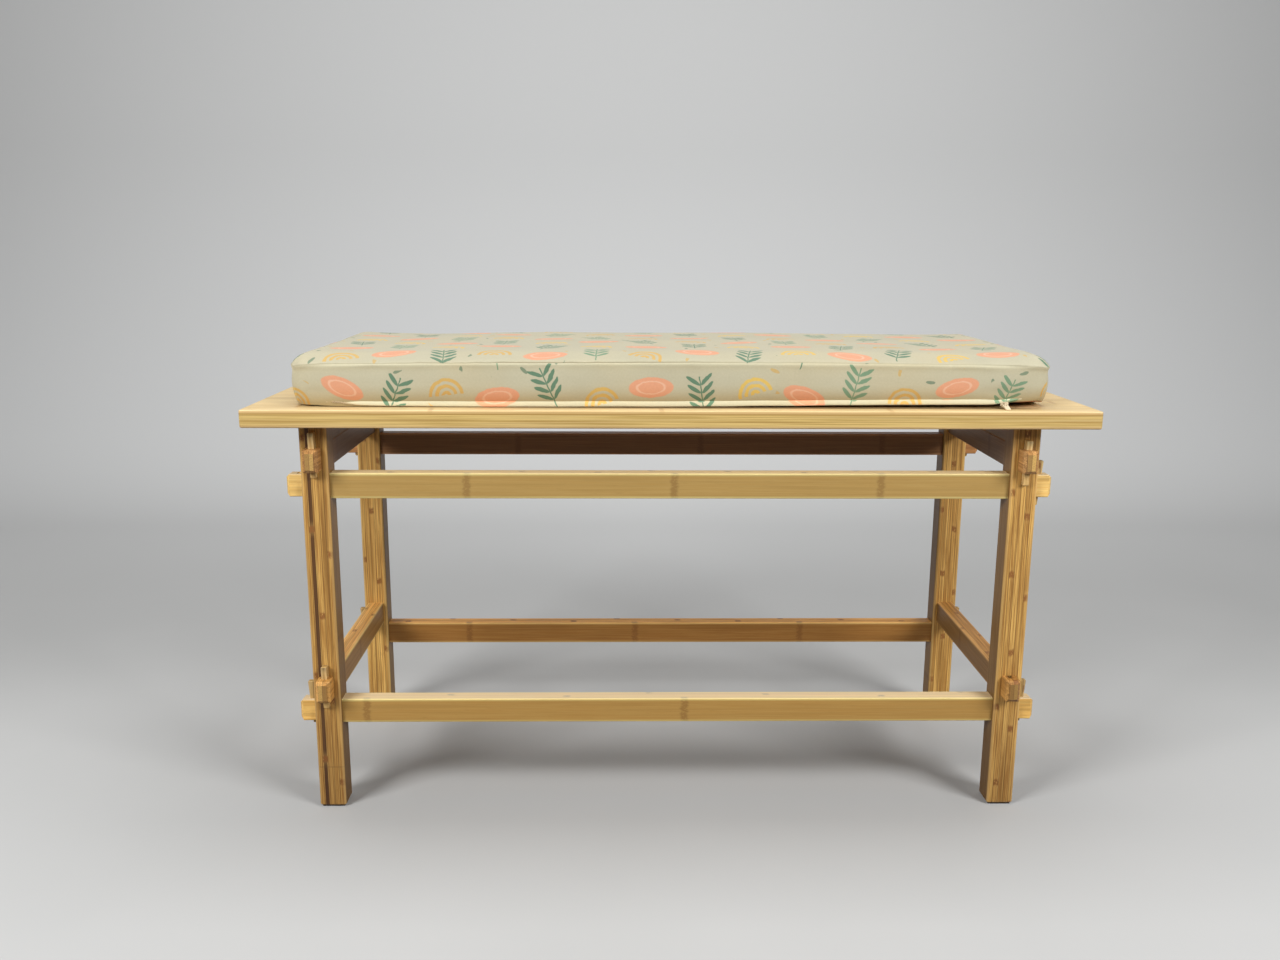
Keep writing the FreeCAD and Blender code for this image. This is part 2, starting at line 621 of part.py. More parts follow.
def check_document():
    """Stops on any failed object or bad shape, and returns the sub-parts."""
    doc.recompute()
    for item in doc.Objects:
        if "Invalid" in item.State or "Error" in item.State:
            raise RuntimeError("%s is %s" % (item.Name, item.State))
    kinds = ("PartDesign::Body", "Part::Box", "Part::Feature")
    pieces = [item for item in doc.Objects if item.TypeId in kinds]
    for piece in pieces:
        if piece.Shape.isNull() or not piece.Shape.isValid() or piece.Shape.Volume <= 0:
            raise RuntimeError(piece.Label + " has no sound shape")
    return pieces


def write_parts(pieces):
    os.makedirs("parts", exist_ok=True)
    for piece in pieces:
        piece.Shape.exportStep(os.path.join("parts", piece.Label + ".step"))
        box = piece.Shape.BoundBox
        print("%-28s %9.1f mm3  z %.1f to %.1f" % (piece.Label, piece.Shape.Volume, box.ZMin, box.ZMax))
    print(len(pieces), "pieces")


fill_sheet()
make_frame()
make_wedges()
make_board()
for side_name, side_sign in (("left", -1), ("right", 1)):
    make_batten("batten_" + side_name, side_sign)
make_screws()
make_cushion()
make_zip()
write_parts(check_document())
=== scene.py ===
import math

import bpy
from mathutils import Matrix, Vector, noise


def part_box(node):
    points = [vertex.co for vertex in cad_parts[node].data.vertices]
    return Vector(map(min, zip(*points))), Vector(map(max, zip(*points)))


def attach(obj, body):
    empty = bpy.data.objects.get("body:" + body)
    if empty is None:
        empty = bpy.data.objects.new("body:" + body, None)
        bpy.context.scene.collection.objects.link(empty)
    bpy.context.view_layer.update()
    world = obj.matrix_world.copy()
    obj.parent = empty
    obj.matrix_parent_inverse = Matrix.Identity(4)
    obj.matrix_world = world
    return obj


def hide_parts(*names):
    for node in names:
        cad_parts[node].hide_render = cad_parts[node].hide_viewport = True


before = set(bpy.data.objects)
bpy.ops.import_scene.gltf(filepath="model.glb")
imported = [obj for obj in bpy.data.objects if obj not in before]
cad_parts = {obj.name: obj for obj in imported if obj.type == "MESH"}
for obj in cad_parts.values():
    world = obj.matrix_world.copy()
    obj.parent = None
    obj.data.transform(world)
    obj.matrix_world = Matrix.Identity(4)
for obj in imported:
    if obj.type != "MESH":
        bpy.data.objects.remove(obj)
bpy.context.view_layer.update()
scene = bpy.context.scene
scene.view_settings.view_transform = "Standard"


# The camera stands in front of the bench, a little left of its middle and above the seat, and
# looks slightly down on it, as the photograph does.
camera_data = bpy.data.cameras.new("camera")
camera_data.sensor_width = 36
camera_data.lens = 31.356
camera = bpy.data.objects.new("camera", camera_data)
scene.collection.objects.link(camera)
camera.matrix_world = (
    Matrix.Translation((-0.053319, -1.325264, 0.637242))
    @ Matrix.Rotation(math.radians(-0.936), 4, "Z")
    @ Matrix.Rotation(math.radians(90 - 12.05), 4, "X")
    @ Matrix.Rotation(math.radians(0.26), 4, "Z")
)
scene.camera = camera


# A plain pale floor that sweeps up into a backdrop, and the lamps: a wide soft one overhead and a
# soft one to each side in front, so that the rails throw faint shadows both ways.
def add_mesh(name, verts, faces, smooth=True):
    mesh = bpy.data.meshes.new(name)
    mesh.from_pydata(verts, [], faces)
    mesh.validate()
    mesh.polygons.foreach_set("use_smooth", [smooth] * len(mesh.polygons))
    piece = bpy.data.objects.new(name, mesh)
    scene.collection.objects.link(piece)
    return piece


def new_material(name):
    material = bpy.data.materials.new(name)
    material.use_nodes = True
    return material, material.node_tree, material.node_tree.nodes["Principled BSDF"]


def calc(tree, operation, *values):
    """One Math node: each value is a number or another node's output."""
    node = tree.nodes.new("ShaderNodeMath")
    node.operation = operation
    for socket, value in zip(node.inputs, values):
        if isinstance(value, (int, float)):
            socket.default_value = value
        else:
            tree.links.new(value, socket)
    return node.outputs[0]


def times(tree, a, b):
    return calc(tree, "MULTIPLY", a, b)


def inverse(tree, share):
    return calc(tree, "SUBTRACT", 1.0, share)


def split_axes(tree, vector):
    node = tree.nodes.new("ShaderNodeSeparateXYZ")
    tree.links.new(vector, node.inputs[0])
    return node.outputs


def emboss(tree, shader, height, strength, depth):
    """Bumps the surface: depth is in metres."""
    bump = tree.nodes.new("ShaderNodeBump")
    bump.inputs["Strength"].default_value = strength
    bump.inputs["Distance"].default_value = depth
    tree.links.new(height, bump.inputs["Height"])
    tree.links.new(bump.outputs["Normal"], shader.inputs["Normal"])


def cover(node, material):
    """Gives a piece of the frame its only material."""
    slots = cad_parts[node].data.materials
    slots.clear()
    slots.append(material)


def noise_at(tree, vector, scale, detail=2.0, distortion=0.0):
    node = tree.nodes.new("ShaderNodeTexNoise")
    node.inputs["Scale"].default_value = scale
    node.inputs["Detail"].default_value = detail
    node.inputs["Distortion"].default_value = distortion
    tree.links.new(vector, node.inputs["Vector"])
    return node.outputs["Fac"]


def step_up(tree, value, low, high):
    """0 below low, 1 above high, and smooth between."""
    node = tree.nodes.new("ShaderNodeMapRange")
    node.interpolation_type = "SMOOTHSTEP"
    node.inputs["From Min"].default_value = low
    node.inputs["From Max"].default_value = high
    tree.links.new(value, node.inputs["Value"])
    return node.outputs["Result"]


def blend_colour(tree, share, below, above, kind="MIX"):
    node = tree.nodes.new("ShaderNodeMix")
    node.data_type = "RGBA"
    node.blend_type = kind
    for socket, value in ((node.inputs[0], share), (node.inputs[6], below), (node.inputs[7], above)):
        if isinstance(value, (int, float)):
            socket.default_value = value
        elif isinstance(value, tuple):
            socket.default_value = (*value, 1)
        else:
            tree.links.new(value, socket)
    return node.outputs[2]


FLOOR_DEPTH, SWEEP_RADIUS, FLOOR_HALF = 1.15, 0.9, 6.0
profile = [(-6.0, 0.0), (-2.0, 0.0), (0.0, 0.0), (FLOOR_DEPTH, 0.0)]
profile += [
    (FLOOR_DEPTH + SWEEP_RADIUS * math.sin(turn), SWEEP_RADIUS * (1 - math.cos(turn)))
    for turn in (math.radians(6 * step) for step in range(1, 16))
]
profile += [(FLOOR_DEPTH + SWEEP_RADIUS, 5.0)]
floor_verts = [(x, y, z) for y, z in profile for x in (-FLOOR_HALF, FLOOR_HALF)]
floor_faces = [(2 * n, 2 * n + 1, 2 * n + 3, 2 * n + 2) for n in range(len(profile) - 1)]
floor = add_mesh("floor", floor_verts, floor_faces)
paint, tree, shader = new_material("pale_floor")
where = tree.nodes.new("ShaderNodeTexCoord").outputs["Object"]
mottle = noise_at(tree, where, 2.5, 4)
wall = step_up(tree, split_axes(tree, where)[1], 0.25, 1.6)
seen = blend_colour(tree, mottle, (0.475, 0.48, 0.475), (0.535, 0.535, 0.53))
seen = blend_colour(tree, wall, seen, (0.80, 0.81, 0.81))
ray = tree.nodes.new("ShaderNodeLightPath")
direct = calc(tree, "MAXIMUM", ray.outputs["Is Camera Ray"], ray.outputs["Is Glossy Ray"])
tree.links.new(blend_colour(tree, direct, (0.13, 0.12, 0.11), seen), shader.inputs["Base Color"])
shader.inputs["Roughness"].default_value = 0.85
floor.data.materials.append(paint)


def soft_lamp(name, place, aim, width, height, power):
    data = bpy.data.lights.new(name, "AREA")
    data.shape = "RECTANGLE"
    data.size, data.size_y, data.energy = width, height, power
    lamp = bpy.data.objects.new(name, data)
    scene.collection.objects.link(lamp)
    lamp.location = place
    lamp.rotation_euler = (Vector(aim) - Vector(place)).to_track_quat("-Z", "Y").to_euler()


soft_lamp("overhead_lamp", (0.0, 0.24, 2.5), (0.0, 0.05, 0.4), 2.4, 0.9, 29)
soft_lamp("left_lamp", (-1.45, -1.35, 1.35), (-0.1, 0.0, 0.35), 0.8, 0.8, 36)
soft_lamp("right_lamp", (1.45, -1.35, 1.35), (0.1, 0.0, 0.35), 0.8, 0.8, 35)
world = bpy.data.worlds.new("studio")
world.use_nodes = True
world.node_tree.nodes["Background"].inputs["Color"].default_value = (1.0, 1.0, 1.0, 1)
world.node_tree.nodes["Background"].inputs["Strength"].default_value = 0.10
scene.world = world


# The legs: square posts laminated from strips of bamboo 6 mm thick, with their edges rounded and
# a clear satin finish. The fibres run up the leg, and each strip has its own tone and nodes.
AXES = {"x": 0, "y": 1, "z": 2}


def bamboo(
    node, along, stacked, layer, light, dark, node_gap=0.21, node_at=0.0, dark_strip=None, joint=None,
    figure=1.0, wear=0.6, top_painted_light=0.0, shaded_foot=False,
):
    """Covers a piece in laminated bamboo. Its fibres run `along` one axis, and its strips, each
    `layer` thick, are `stacked` up along another. The first strip has its nodes at node_at and
    every node_gap from there. dark_strip is the number of a dark strip, joint the height of a glued
    butt joint, figure the strength of the streaks and wear that of the pale edges. Two more
    arguments paint light and shade: one lightens the upper faces as a painted highlight, and the
    other darkens the foot of a leg as painted shade."""
    low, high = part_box(node)
    across = ({"x", "y", "z"} - {along, stacked}).pop()
    material, tree, shader = new_material("bamboo_" + node)
    coordinates = tree.nodes.new("ShaderNodeTexCoord")
    place_axes = split_axes(tree, coordinates.outputs["Object"])
    u, v, w = (place_axes[AXES[axis]] for axis in (along, stacked, across))

    def join(a, b, c):
        made = tree.nodes.new("ShaderNodeCombineXYZ")
        for socket, value in zip(made.inputs, (a, b, c)):
            if isinstance(value, (int, float)):
                socket.default_value = value
            else:
                tree.links.new(value, socket)
        return made.outputs[0]

    place = calc(tree, "DIVIDE", calc(tree, "SUBTRACT", v, low[AXES[stacked]] - 1e-5), layer)
    strip = calc(tree, "FLOOR", place)
    in_strip = calc(tree, "ABSOLUTE", calc(tree, "SUBTRACT", calc(tree, "FRACT", place), 0.5))
    chance = tree.nodes.new("ShaderNodeTexWhiteNoise")
    chance.noise_dimensions = "1D"
    tree.links.new(
        calc(tree, "ADD", strip, 7.3 * low[0] + 3.1 * low[1] + 11.7 * low[2]), chance.inputs["W"],
    )
    tone = chance.outputs["Value"]

    shift = times(tree, strip, 0.37)
    wander = noise_at(tree, join(times(tree, u, 9.0), shift, times(tree, w, 30.0)), 1.0, 1)
    wave = times(tree, wander, 0.0011)
    w_bent, v_bent = calc(tree, "ADD", w, wave), calc(tree, "ADD", v, wave)

    def grain(lengthwise, crosswise, detail, v=v, w=w):
        """Noise drawn out along the fibres."""
        stretched = join(times(tree, u, lengthwise), times(tree, v, crosswise), times(tree, w, crosswise))
        return noise_at(tree, stretched, 1.0, detail)

    fibres = grain(16.0, 1150.0, 3, v_bent, w_bent)
    streaks = grain(5.0, 260.0, 2, v_bent, w_bent)
    clouds = grain(4.0, 25.0, 2)

    # The nodes: a ragged dark ring across each strip, at another height in each.
    jog = noise_at(tree, join(shift, times(tree, w, 300.0), times(tree, v, 300.0)), 1.0, 2)
    past_node = calc(tree, "ADD", calc(tree, "SUBTRACT", u, node_at + 0.0035), times(tree, jog, 0.007))
    phase = calc(tree, "ADD", calc(tree, "ADD", calc(tree, "DIVIDE", past_node, node_gap), 40.5), shift)
    phase = calc(tree, "SUBTRACT", calc(tree, "FRACT", phase), 0.5)
    from_node = times(tree, calc(tree, "ABSOLUTE", phase), node_gap)
    knot = inverse(tree, step_up(tree, from_node, 0.0018, 0.0058))
    flecks = grain(330.0, 620.0, 2)
    knot = times(tree, knot, step_up(tree, flecks, 0.26, 0.48))
    dashes = grain(75.0, 1500.0, 2)
    halo = inverse(tree, step_up(tree, from_node, 0.003, 0.011))

    facing = split_axes(tree, coordinates.outputs["Normal"])
    end_grain = step_up(tree, calc(tree, "ABSOLUTE", facing[AXES[along]]), 0.7, 0.95)
    long_grain = inverse(tree, times(tree, end_grain, 0.75))
    colour = blend_colour(tree, times(tree, step_up(tree, fibres, 0.36, 0.64), long_grain), light, dark)
    dusk = times(tree, times(tree, step_up(tree, streaks, 0.42, 0.72), 0.6 * figure), long_grain)
    colour = blend_colour(tree, dusk, colour, tuple(0.6 * c for c in dark))
    dashed = times(tree, times(tree, step_up(tree, dashes, 0.60, 0.74), 0.55 * figure), long_grain)
    colour = blend_colour(tree, dashed, colour, tuple(0.55 * c for c in dark))
    warm = blend_colour(tree, tone, (0.80, 0.73, 0.64), (1.10, 1.10, 1.10))
    colour = blend_colour(tree, 1.0, colour, warm, "MULTIPLY")
    cloudy = blend_colour(tree, clouds, (0.84, 0.82, 0.78), (1.14, 1.14, 1.12))
    colour = blend_colour(tree, 1.0, colour, cloudy, "MULTIPLY")
    if dark_strip is not None:
        is_dark = calc(tree, "COMPARE", strip, float(dark_strip), 0.2)
        is_dark = times(tree, is_dark, inverse(tree, step_up(tree, in_strip, 0.30, 0.40)))
        smoked = blend_colour(tree, fibres, (0.120, 0.045, 0.012), (0.040, 0.014, 0.004))
        colour = blend_colour(tree, times(tree, is_dark, 0.95), colour, smoked)
    colour = blend_colour(tree, times(tree, halo, 0.18), colour, tuple(0.9 * c for c in light))
    colour = blend_colour(tree, times(tree, knot, 0.92), colour, (0.26, 0.098, 0.024))
    seam = step_up(tree, in_strip, 0.41, 0.49)
    colour = blend_colour(tree, times(tree, seam, 0.80), colour, tuple(0.36 * c for c in dark))
    # Painted shade: the leg is made darker towards the floor.
    if shaded_foot:
        foot_shade_share = inverse(tree, step_up(tree, u, 0.02, 0.20))
        foot_shade_colour = blend_colour(tree, 1.0, colour, (0.78, 0.76, 0.78), "MULTIPLY")
        colour = blend_colour(tree, foot_shade_share, colour, foot_shade_colour)
    # Painted highlight: the upper faces are made lighter.
    if top_painted_light:
        lit_top_share = step_up(tree, facing[2], 0.4, 0.8)
        colour = blend_colour(tree, times(tree, lit_top_share, top_painted_light), colour, (0.98, 0.84, 0.58))
    if joint is not None:
        gap = calc(tree, "ABSOLUTE", calc(tree, "SUBTRACT", u, joint))
        glue_line = calc(tree, "SUBTRACT", 0.55, times(tree, 0.55, step_up(tree, gap, 0.0002, 0.0007)))
        colour = blend_colour(tree, glue_line, colour, (0.12, 0.06, 0.025))

    # Cut ends show darker pores, and the long edges are rubbed pale.
    pores = blend_colour(tree, tone, (0.26, 0.142, 0.040), (0.66, 0.415, 0.122))
    pores = blend_colour(
        tree, times(tree, step_up(tree, fibres, 0.45, 0.66), 0.45), pores, (0.17, 0.085, 0.028),
    )
    pores = blend_colour(tree, times(tree, seam, 0.6), pores, (0.09, 0.04, 0.015))
    colour = blend_colour(tree, times(tree, end_grain, 0.9), colour, pores)
    worn = 1.0
    for axis, socket in ((stacked, v), (across, w)):
        start, end = low[AXES[axis]], high[AXES[axis]]
        middle, half = (start + end) / 2, (end - start) / 2
        away = calc(tree, "ABSOLUTE", calc(tree, "SUBTRACT", socket, middle))
        worn = times(tree, step_up(tree, away, half - 0.0035, half - 0.0006), worn)
    worn = times(tree, worn, calc(tree, "ADD", 0.25, times(tree, clouds, 0.9)))
    colour = blend_colour(
        tree, times(tree, worn, wear), colour, tuple(min(0.92, 1.1 * c + 0.08) for c in light),
    )
    tree.links.new(colour, shader.inputs["Base Color"])

    dull = calc(tree, "ADD", 0.40, times(tree, fibres, 0.16))
    dull = calc(
        tree, "ADD", dull, calc(tree, "ADD", times(tree, worn, 0.1), times(tree, end_grain, 0.22)),
    )
    tree.links.new(dull, shader.inputs["Roughness"])
    height = calc(
        tree, "SUBTRACT", calc(tree, "ADD", times(tree, knot, 0.5), times(tree, streaks, 0.25)),
        times(tree, fibres, 0.45),
    )
    height = calc(tree, "SUBTRACT", height, times(tree, seam, 0.5))
    emboss(tree, shader, height, 0.35, 0.0003)
    shader.inputs["Specular IOR Level"].default_value = 0.35
    shader.inputs["Coat Weight"].default_value = 0.05
    shader.inputs["Coat Roughness"].default_value = 0.25
    cover(node, material)


LEG_LIGHT, LEG_DARK = (0.76, 0.475, 0.145), (0.40, 0.195, 0.045)
# The front legs are darker towards the floor: painted shade.
bamboo(
    "leg_front_left", "z", "x", 0.006, LEG_LIGHT, LEG_DARK, 0.27, 0.16, dark_strip=1, joint=0.0497,
    shaded_foot=True,
)
bamboo("leg_front_right", "z", "x", 0.006, LEG_LIGHT, LEG_DARK, 0.25, 0.121, shaded_foot=True)
bamboo("leg_back_left", "z", "x", 0.006, (0.80, 0.51, 0.160), (0.44, 0.22, 0.052), 0.26, 0.22)
bamboo("leg_back_right", "z", "x", 0.006, (0.80, 0.50, 0.155), (0.44, 0.22, 0.052), 0.24, 0.05)


# The glides: thin dark felt pads stuck under the legs.
def felt(node):
    material, tree, shader = new_material("felt_" + node)
    where = tree.nodes.new("ShaderNodeTexCoord").outputs["Object"]
    hairs = noise_at(tree, where, 1400, 4, 1.5)
    tufts = noise_at(tree, where, 260, 3)
    colour = blend_colour(tree, hairs, (0.016, 0.012, 0.010), (0.070, 0.055, 0.045))
    colour = blend_colour(tree, times(tree, tufts, 0.5), colour, (0.035, 0.028, 0.024))
    tree.links.new(colour, shader.inputs["Base Color"])
    tree.links.new(calc(tree, "ADD", 0.86, times(tree, hairs, 0.12)), shader.inputs["Roughness"])
    emboss(tree, shader, hairs, 0.6, 0.0004)
    cover(node, material)


for corner in ("front_left", "front_right", "back_left", "back_right"):
    felt("glide_" + corner)


# The rails: four upper and four lower ones, each cut with its fibres lengthwise from strips 5 mm
# thick, so that a whole strip faces out. Their tenons go right through the legs. The back and
# side ones are given darker tones as painted shade, the upper back one most, and the front ones
# get paler tops as a painted highlight.
bamboo(
    "rail_front_upper", "x", "y", 0.005, (1.0, 0.700, 0.262), (0.88, 0.550, 0.165), 0.226, -0.2223,
    figure=0.9, top_painted_light=0.5,
)
bamboo(
    "rail_front_lower", "x", "y", 0.005, (1.0, 0.655, 0.210), (0.88, 0.490, 0.125), 0.36, 0.0176,
    figure=0.9, top_painted_light=0.6,
)
# The darker tones of the back and side rails are painted shade.
bamboo("rail_back_upper", "x", "y", 0.005, (0.66, 0.330, 0.120), (0.42, 0.185, 0.060), 0.24, 0.05)
bamboo("rail_back_lower", "x", "y", 0.005, (0.96, 0.510, 0.140), (0.62, 0.270, 0.055), 0.225, -0.036)
bamboo("rail_left_lower", "y", "x", 0.005, (0.95, 0.560, 0.180), (0.66, 0.330, 0.085), 0.23, 0.09)
bamboo("rail_right_lower", "y", "x", 0.005, (0.70, 0.385, 0.115), (0.43, 0.205, 0.048), 0.23, 0.01)
for side, first in (("left", 0.03), ("right", -0.05)):
    bamboo(
        "rail_%s_upper" % side, "y", "x", 0.005, (0.70, 0.400, 0.150), (0.44, 0.215, 0.070), 0.23, first,
        wear=0.1,
    )


# The wedges: small tapered keys of pale bamboo, driven down through the tenons outside the legs
# to lock the frame. They come out again when the bench is taken down. The lower ones are given
# darker tones as painted shade.
UPPER_WEDGE_TONES = (0.84, 0.60, 0.27), (0.60, 0.37, 0.13)
SHADED_LOWER_WEDGE_TONES = (0.66, 0.455, 0.19), (0.47, 0.28, 0.09)
for node in sorted(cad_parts):
    if node.startswith("wedge_"):
        stacked = "x" if node.split("_")[1] in ("front", "back") else "y"
        tones = SHADED_LOWER_WEDGE_TONES if "_lower_" in node else UPPER_WEDGE_TONES
        bamboo(node, "z", stacked, 0.006, *tones, 0.19, 0.02)


# The seat board: pressed bamboo in three plies, pale strips 20 mm wide on top, and a fibrous
# cross-laid core that shows at its edges.
BOARD_STRIP, BOARD_NODE_GAP = 0.020, 0.24


def board_finish():
    node = "seat_board"
    low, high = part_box(node)
    material, tree, shader = new_material("pressed_bamboo_board")
    coordinates = tree.nodes.new("ShaderNodeTexCoord")
    x, y, z = split_axes(tree, coordinates.outputs["Object"])

    def stretch(by_x, by_y, by_z):
        made = tree.nodes.new("ShaderNodeVectorMath")
        made.operation = "MULTIPLY"
        made.inputs[1].default_value = (by_x, by_y, by_z)
        tree.links.new(coordinates.outputs["Object"], made.inputs[0])
        return made.outputs[0]

    place = calc(tree, "DIVIDE", calc(tree, "SUBTRACT", y, low[1]), BOARD_STRIP)
    chance = tree.nodes.new("ShaderNodeTexWhiteNoise")
    chance.noise_dimensions = "1D"
    strip = calc(tree, "FLOOR", place)
    tree.links.new(strip, chance.inputs["W"])
    in_strip = calc(tree, "ABSOLUTE", calc(tree, "SUBTRACT", calc(tree, "FRACT", place), 0.5))
    fibres = noise_at(tree, stretch(14, 950, 950), 1.0, 3)
    streaks = noise_at(tree, stretch(4, 180, 180), 1.0, 2)
    clouds = noise_at(tree, stretch(5, 9, 9), 1.0, 2)
    face = blend_colour(tree, step_up(tree, fibres, 0.36, 0.68), (0.80, 0.62, 0.335), (0.66, 0.46, 0.20))
    face = blend_colour(
        tree, times(tree, step_up(tree, streaks, 0.5, 0.8), 0.4), face, (0.50, 0.33, 0.14),
    )
    tone = blend_colour(tree, chance.outputs["Value"], (0.93, 0.92, 0.90), (1.06, 1.06, 1.06))
    face = blend_colour(tree, 1.0, face, tone, "MULTIPLY")
    jog = times(tree, noise_at(tree, stretch(0, 420, 420), 1.0, 2), 0.005)
    offset = calc(tree, "ADD", 40.0, times(tree, chance.outputs["Value"], 0.93))
    phase = calc(tree, "ADD", calc(tree, "DIVIDE", calc(tree, "ADD", x, jog), BOARD_NODE_GAP), offset)
    phase = calc(tree, "SUBTRACT", calc(tree, "FRACT", phase), 0.5)
    from_node = times(tree, calc(tree, "ABSOLUTE", phase), BOARD_NODE_GAP)
    knot = inverse(tree, step_up(tree, from_node, 0.0012, 0.0035))
    face = blend_colour(tree, times(tree, knot, 0.42), face, (0.42, 0.22, 0.07))
    seam = step_up(tree, in_strip, 0.485, 0.5)
    face = blend_colour(tree, times(tree, seam, 0.35), face, (0.28, 0.17, 0.07))

    crumbs = noise_at(tree, stretch(9, 420, 900), 1.0, 3)
    slivers = noise_at(tree, stretch(5, 60, 380), 1.0, 2)
    core = blend_colour(
        tree, step_up(tree, crumbs, 0.35, 0.68), (0.70, 0.500, 0.172), (0.44, 0.282, 0.075),
    )
    core = blend_colour(
        tree, times(tree, step_up(tree, slivers, 0.45, 0.72), 0.6), core, (0.64, 0.470, 0.200),
    )
    wander = times(tree, noise_at(tree, stretch(7, 7, 0), 1.0, 2), 0.0012)
    level = calc(tree, "ADD", z, wander)
    in_core = inverse(tree, step_up(tree, z, high[2] - 0.0040, high[2] - 0.0036))
    upright = calc(tree, "ABSOLUTE", split_axes(tree, coordinates.outputs["Normal"])[2])
    on_edge = inverse(tree, step_up(tree, upright, 0.35, 0.6))
    colour = blend_colour(
        tree, in_core, blend_colour(tree, times(tree, on_edge, 0.75), face, (0.66, 0.430, 0.165)), core,
    )
    colour = blend_colour(
        tree, inverse(tree, step_up(tree, z, low[2] + 0.0002, low[2] + 0.0006)), colour, face,
    )
    # Dark glue lines between the plies show along the edge.
    for depth, wide, strength in ((0.0034, 0.0011, 0.85), (0.0108, 0.0009, 0.55), (0.0168, 0.0008, 0.35)):
        away = calc(tree, "ABSOLUTE", calc(tree, "SUBTRACT", level, high[2] - depth))
        line = times(tree, inverse(tree, step_up(tree, away, 0.4 * wide, wide)), on_edge)
        colour = blend_colour(tree, times(tree, line, strength), colour, (0.40, 0.235, 0.055))
    below = inverse(tree, step_up(tree, z, low[2] + 0.001, low[2] + 0.004))
    colour = blend_colour(tree, times(tree, below, 0.3), colour, (0.78, 0.54, 0.34))
    worn = 0.0
    for socket, axis in ((x, 0), (y, 1)):
        half = (high[axis] - low[axis]) / 2
        near_edge = step_up(tree, calc(tree, "ABSOLUTE", socket), half - 0.004, half - 0.0008)
        worn = calc(tree, "MAXIMUM", near_edge, worn)
    worn = times(tree, worn, step_up(tree, z, high[2] - 0.0025, high[2] - 0.0004))
    worn = times(tree, worn, calc(tree, "ADD", 0.3, times(tree, clouds, 0.9)))
    colour = blend_colour(tree, times(tree, worn, 0.3), colour, (0.74, 0.53, 0.26))
    # A dark line along the cushion's foot stands for the shaded gap that the photo shows there.
    from_cushion = calc(tree, "ABSOLUTE", calc(tree, "SUBTRACT", y, times(tree, wander, 2.0)))
    from_foot = calc(tree, "ABSOLUTE", calc(tree, "SUBTRACT", from_cushion, 0.1585))
    beside = inverse(tree, step_up(tree, from_foot, 0.003, 0.010))
    beside = times(tree, beside, inverse(tree, step_up(tree, calc(tree, "ABSOLUTE", x), 0.36, 0.40)))
    on_top = step_up(tree, z, high[2] - 0.0004, high[2] - 0.0001)
    beside = times(tree, beside, times(tree, step_up(tree, x, -0.30, -0.10), on_top))
    colour = blend_colour(tree, times(tree, beside, 0.62), colour, (0.17, 0.085, 0.026))
    cloudy = blend_colour(tree, clouds, (0.94, 0.93, 0.91), (1.05, 1.05, 1.05))
    colour = blend_colour(tree, 1.0, colour, cloudy, "MULTIPLY")
    tree.links.new(colour, shader.inputs["Base Color"])
    dull = calc(
        tree, "ADD", 0.42, calc(tree, "ADD", times(tree, fibres, 0.14), times(tree, in_core, 0.18)),
    )
    tree.links.new(dull, shader.inputs["Roughness"])
    height = calc(
        tree, "SUBTRACT", times(tree, times(tree, crumbs, in_core), 0.8),
        times(tree, calc(tree, "MAXIMUM", fibres, seam), 0.4),
    )
    emboss(tree, shader, height, 0.35, 0.0003)
    shader.inputs["Coat Weight"].default_value = 0.10
    shader.inputs["Coat Roughness"].default_value = 0.30
    cover(node, material)


board_finish()


# The battens: two bars screwed under the board. They drop between the legs, just inside the
# upper side rails, and keep the top from sliding off. Six plated wood screws hold them.
for side in ("left", "right"):
    bamboo(
        "batten_" + side, "y", "x", 0.005, (0.60, 0.37, 0.13), (0.42, 0.215, 0.062), 0.21, 0.03, wear=0.1,
    )


def plated_steel(node, light, dark):
    material, tree, shader = new_material("plated_" + node)
    where = tree.nodes.new("ShaderNodeTexCoord").outputs["Object"]
    stains = noise_at(tree, where, 350, 4)
    scratches = noise_at(tree, where, 2600, 2, 2.0)
    tree.links.new(
        blend_colour(tree, step_up(tree, stains, 0.35, 0.7), light, dark), shader.inputs["Base Color"],
    )
    tree.links.new(calc(tree, "ADD", 0.24, times(tree, stains, 0.22)), shader.inputs["Roughness"])
    emboss(tree, shader, scratches, 0.2, 0.0001)
    shader.inputs["Metallic"].default_value = 1.0
    cover(node, material)


plated_steel("batten_screws", (0.66, 0.65, 0.62), (0.50, 0.49, 0.46))


# The cushion: a box cushion of printed cotton over a foam block, sewn from a top, a bottom and
# upright sides. The top swells from its seam, and the sides pull in between the corners. Its
# front foot lifts a little off the board towards the right, most at the corner.
HALF_LENGTH, HALF_DEPTH = 0.403, 0.155
EDGE_HEIGHT, SHOULDER, CROWN, DRAW = 0.048, 0.0058, 0.0012, 0.003
CORNER_RADIUS = 0.016
NEAR_SEAM = (0.0, 0.0011, 0.0028, 0.0056, 0.0098)
board_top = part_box("seat_board")[1].z
SHARP_CORNER, SOFT_CORNER, ROLL = 0.022, 0.016, 0.014
LIFTED_FROM, LIFTED_OVER = 0.090, 0.065
FOOT_LIFTS = (
    (-0.403, 0.0024), (-0.385, 0.0018), (-0.355, 0.0005), (-0.20, 0.0003), (0.0, 0.0012), (0.10, 0.0024),
    (0.20, 0.0032), (0.34, 0.0040), (0.37, 0.0070), (0.395, 0.0088), (0.403, 0.0088),
)


def along_table(table, x):
    """A value read off a short table of (place, value) pairs, eased between them."""
    for (x0, a), (x1, b) in zip(table, table[1:]):
        if x <= x1:
            share = max(0.0, min(1.0, (x - x0) / (x1 - x0)))
            return a + (b - a) * share * share * (3 - 2 * share)
    return table[-1][1]


def seam_lines(half, pitch):
    """Grid lines from -half to half: close together at both seams and even between."""
    inner = half - NEAR_SEAM[-1]
    count = round(2 * inner / pitch)
    middle = [-inner + 2 * inner * n / count for n in range(count + 1)]
    return [edge - half for edge in NEAR_SEAM[:-1]] + middle + [
        half - edge for edge in reversed(NEAR_SEAM[:-1])
    ]


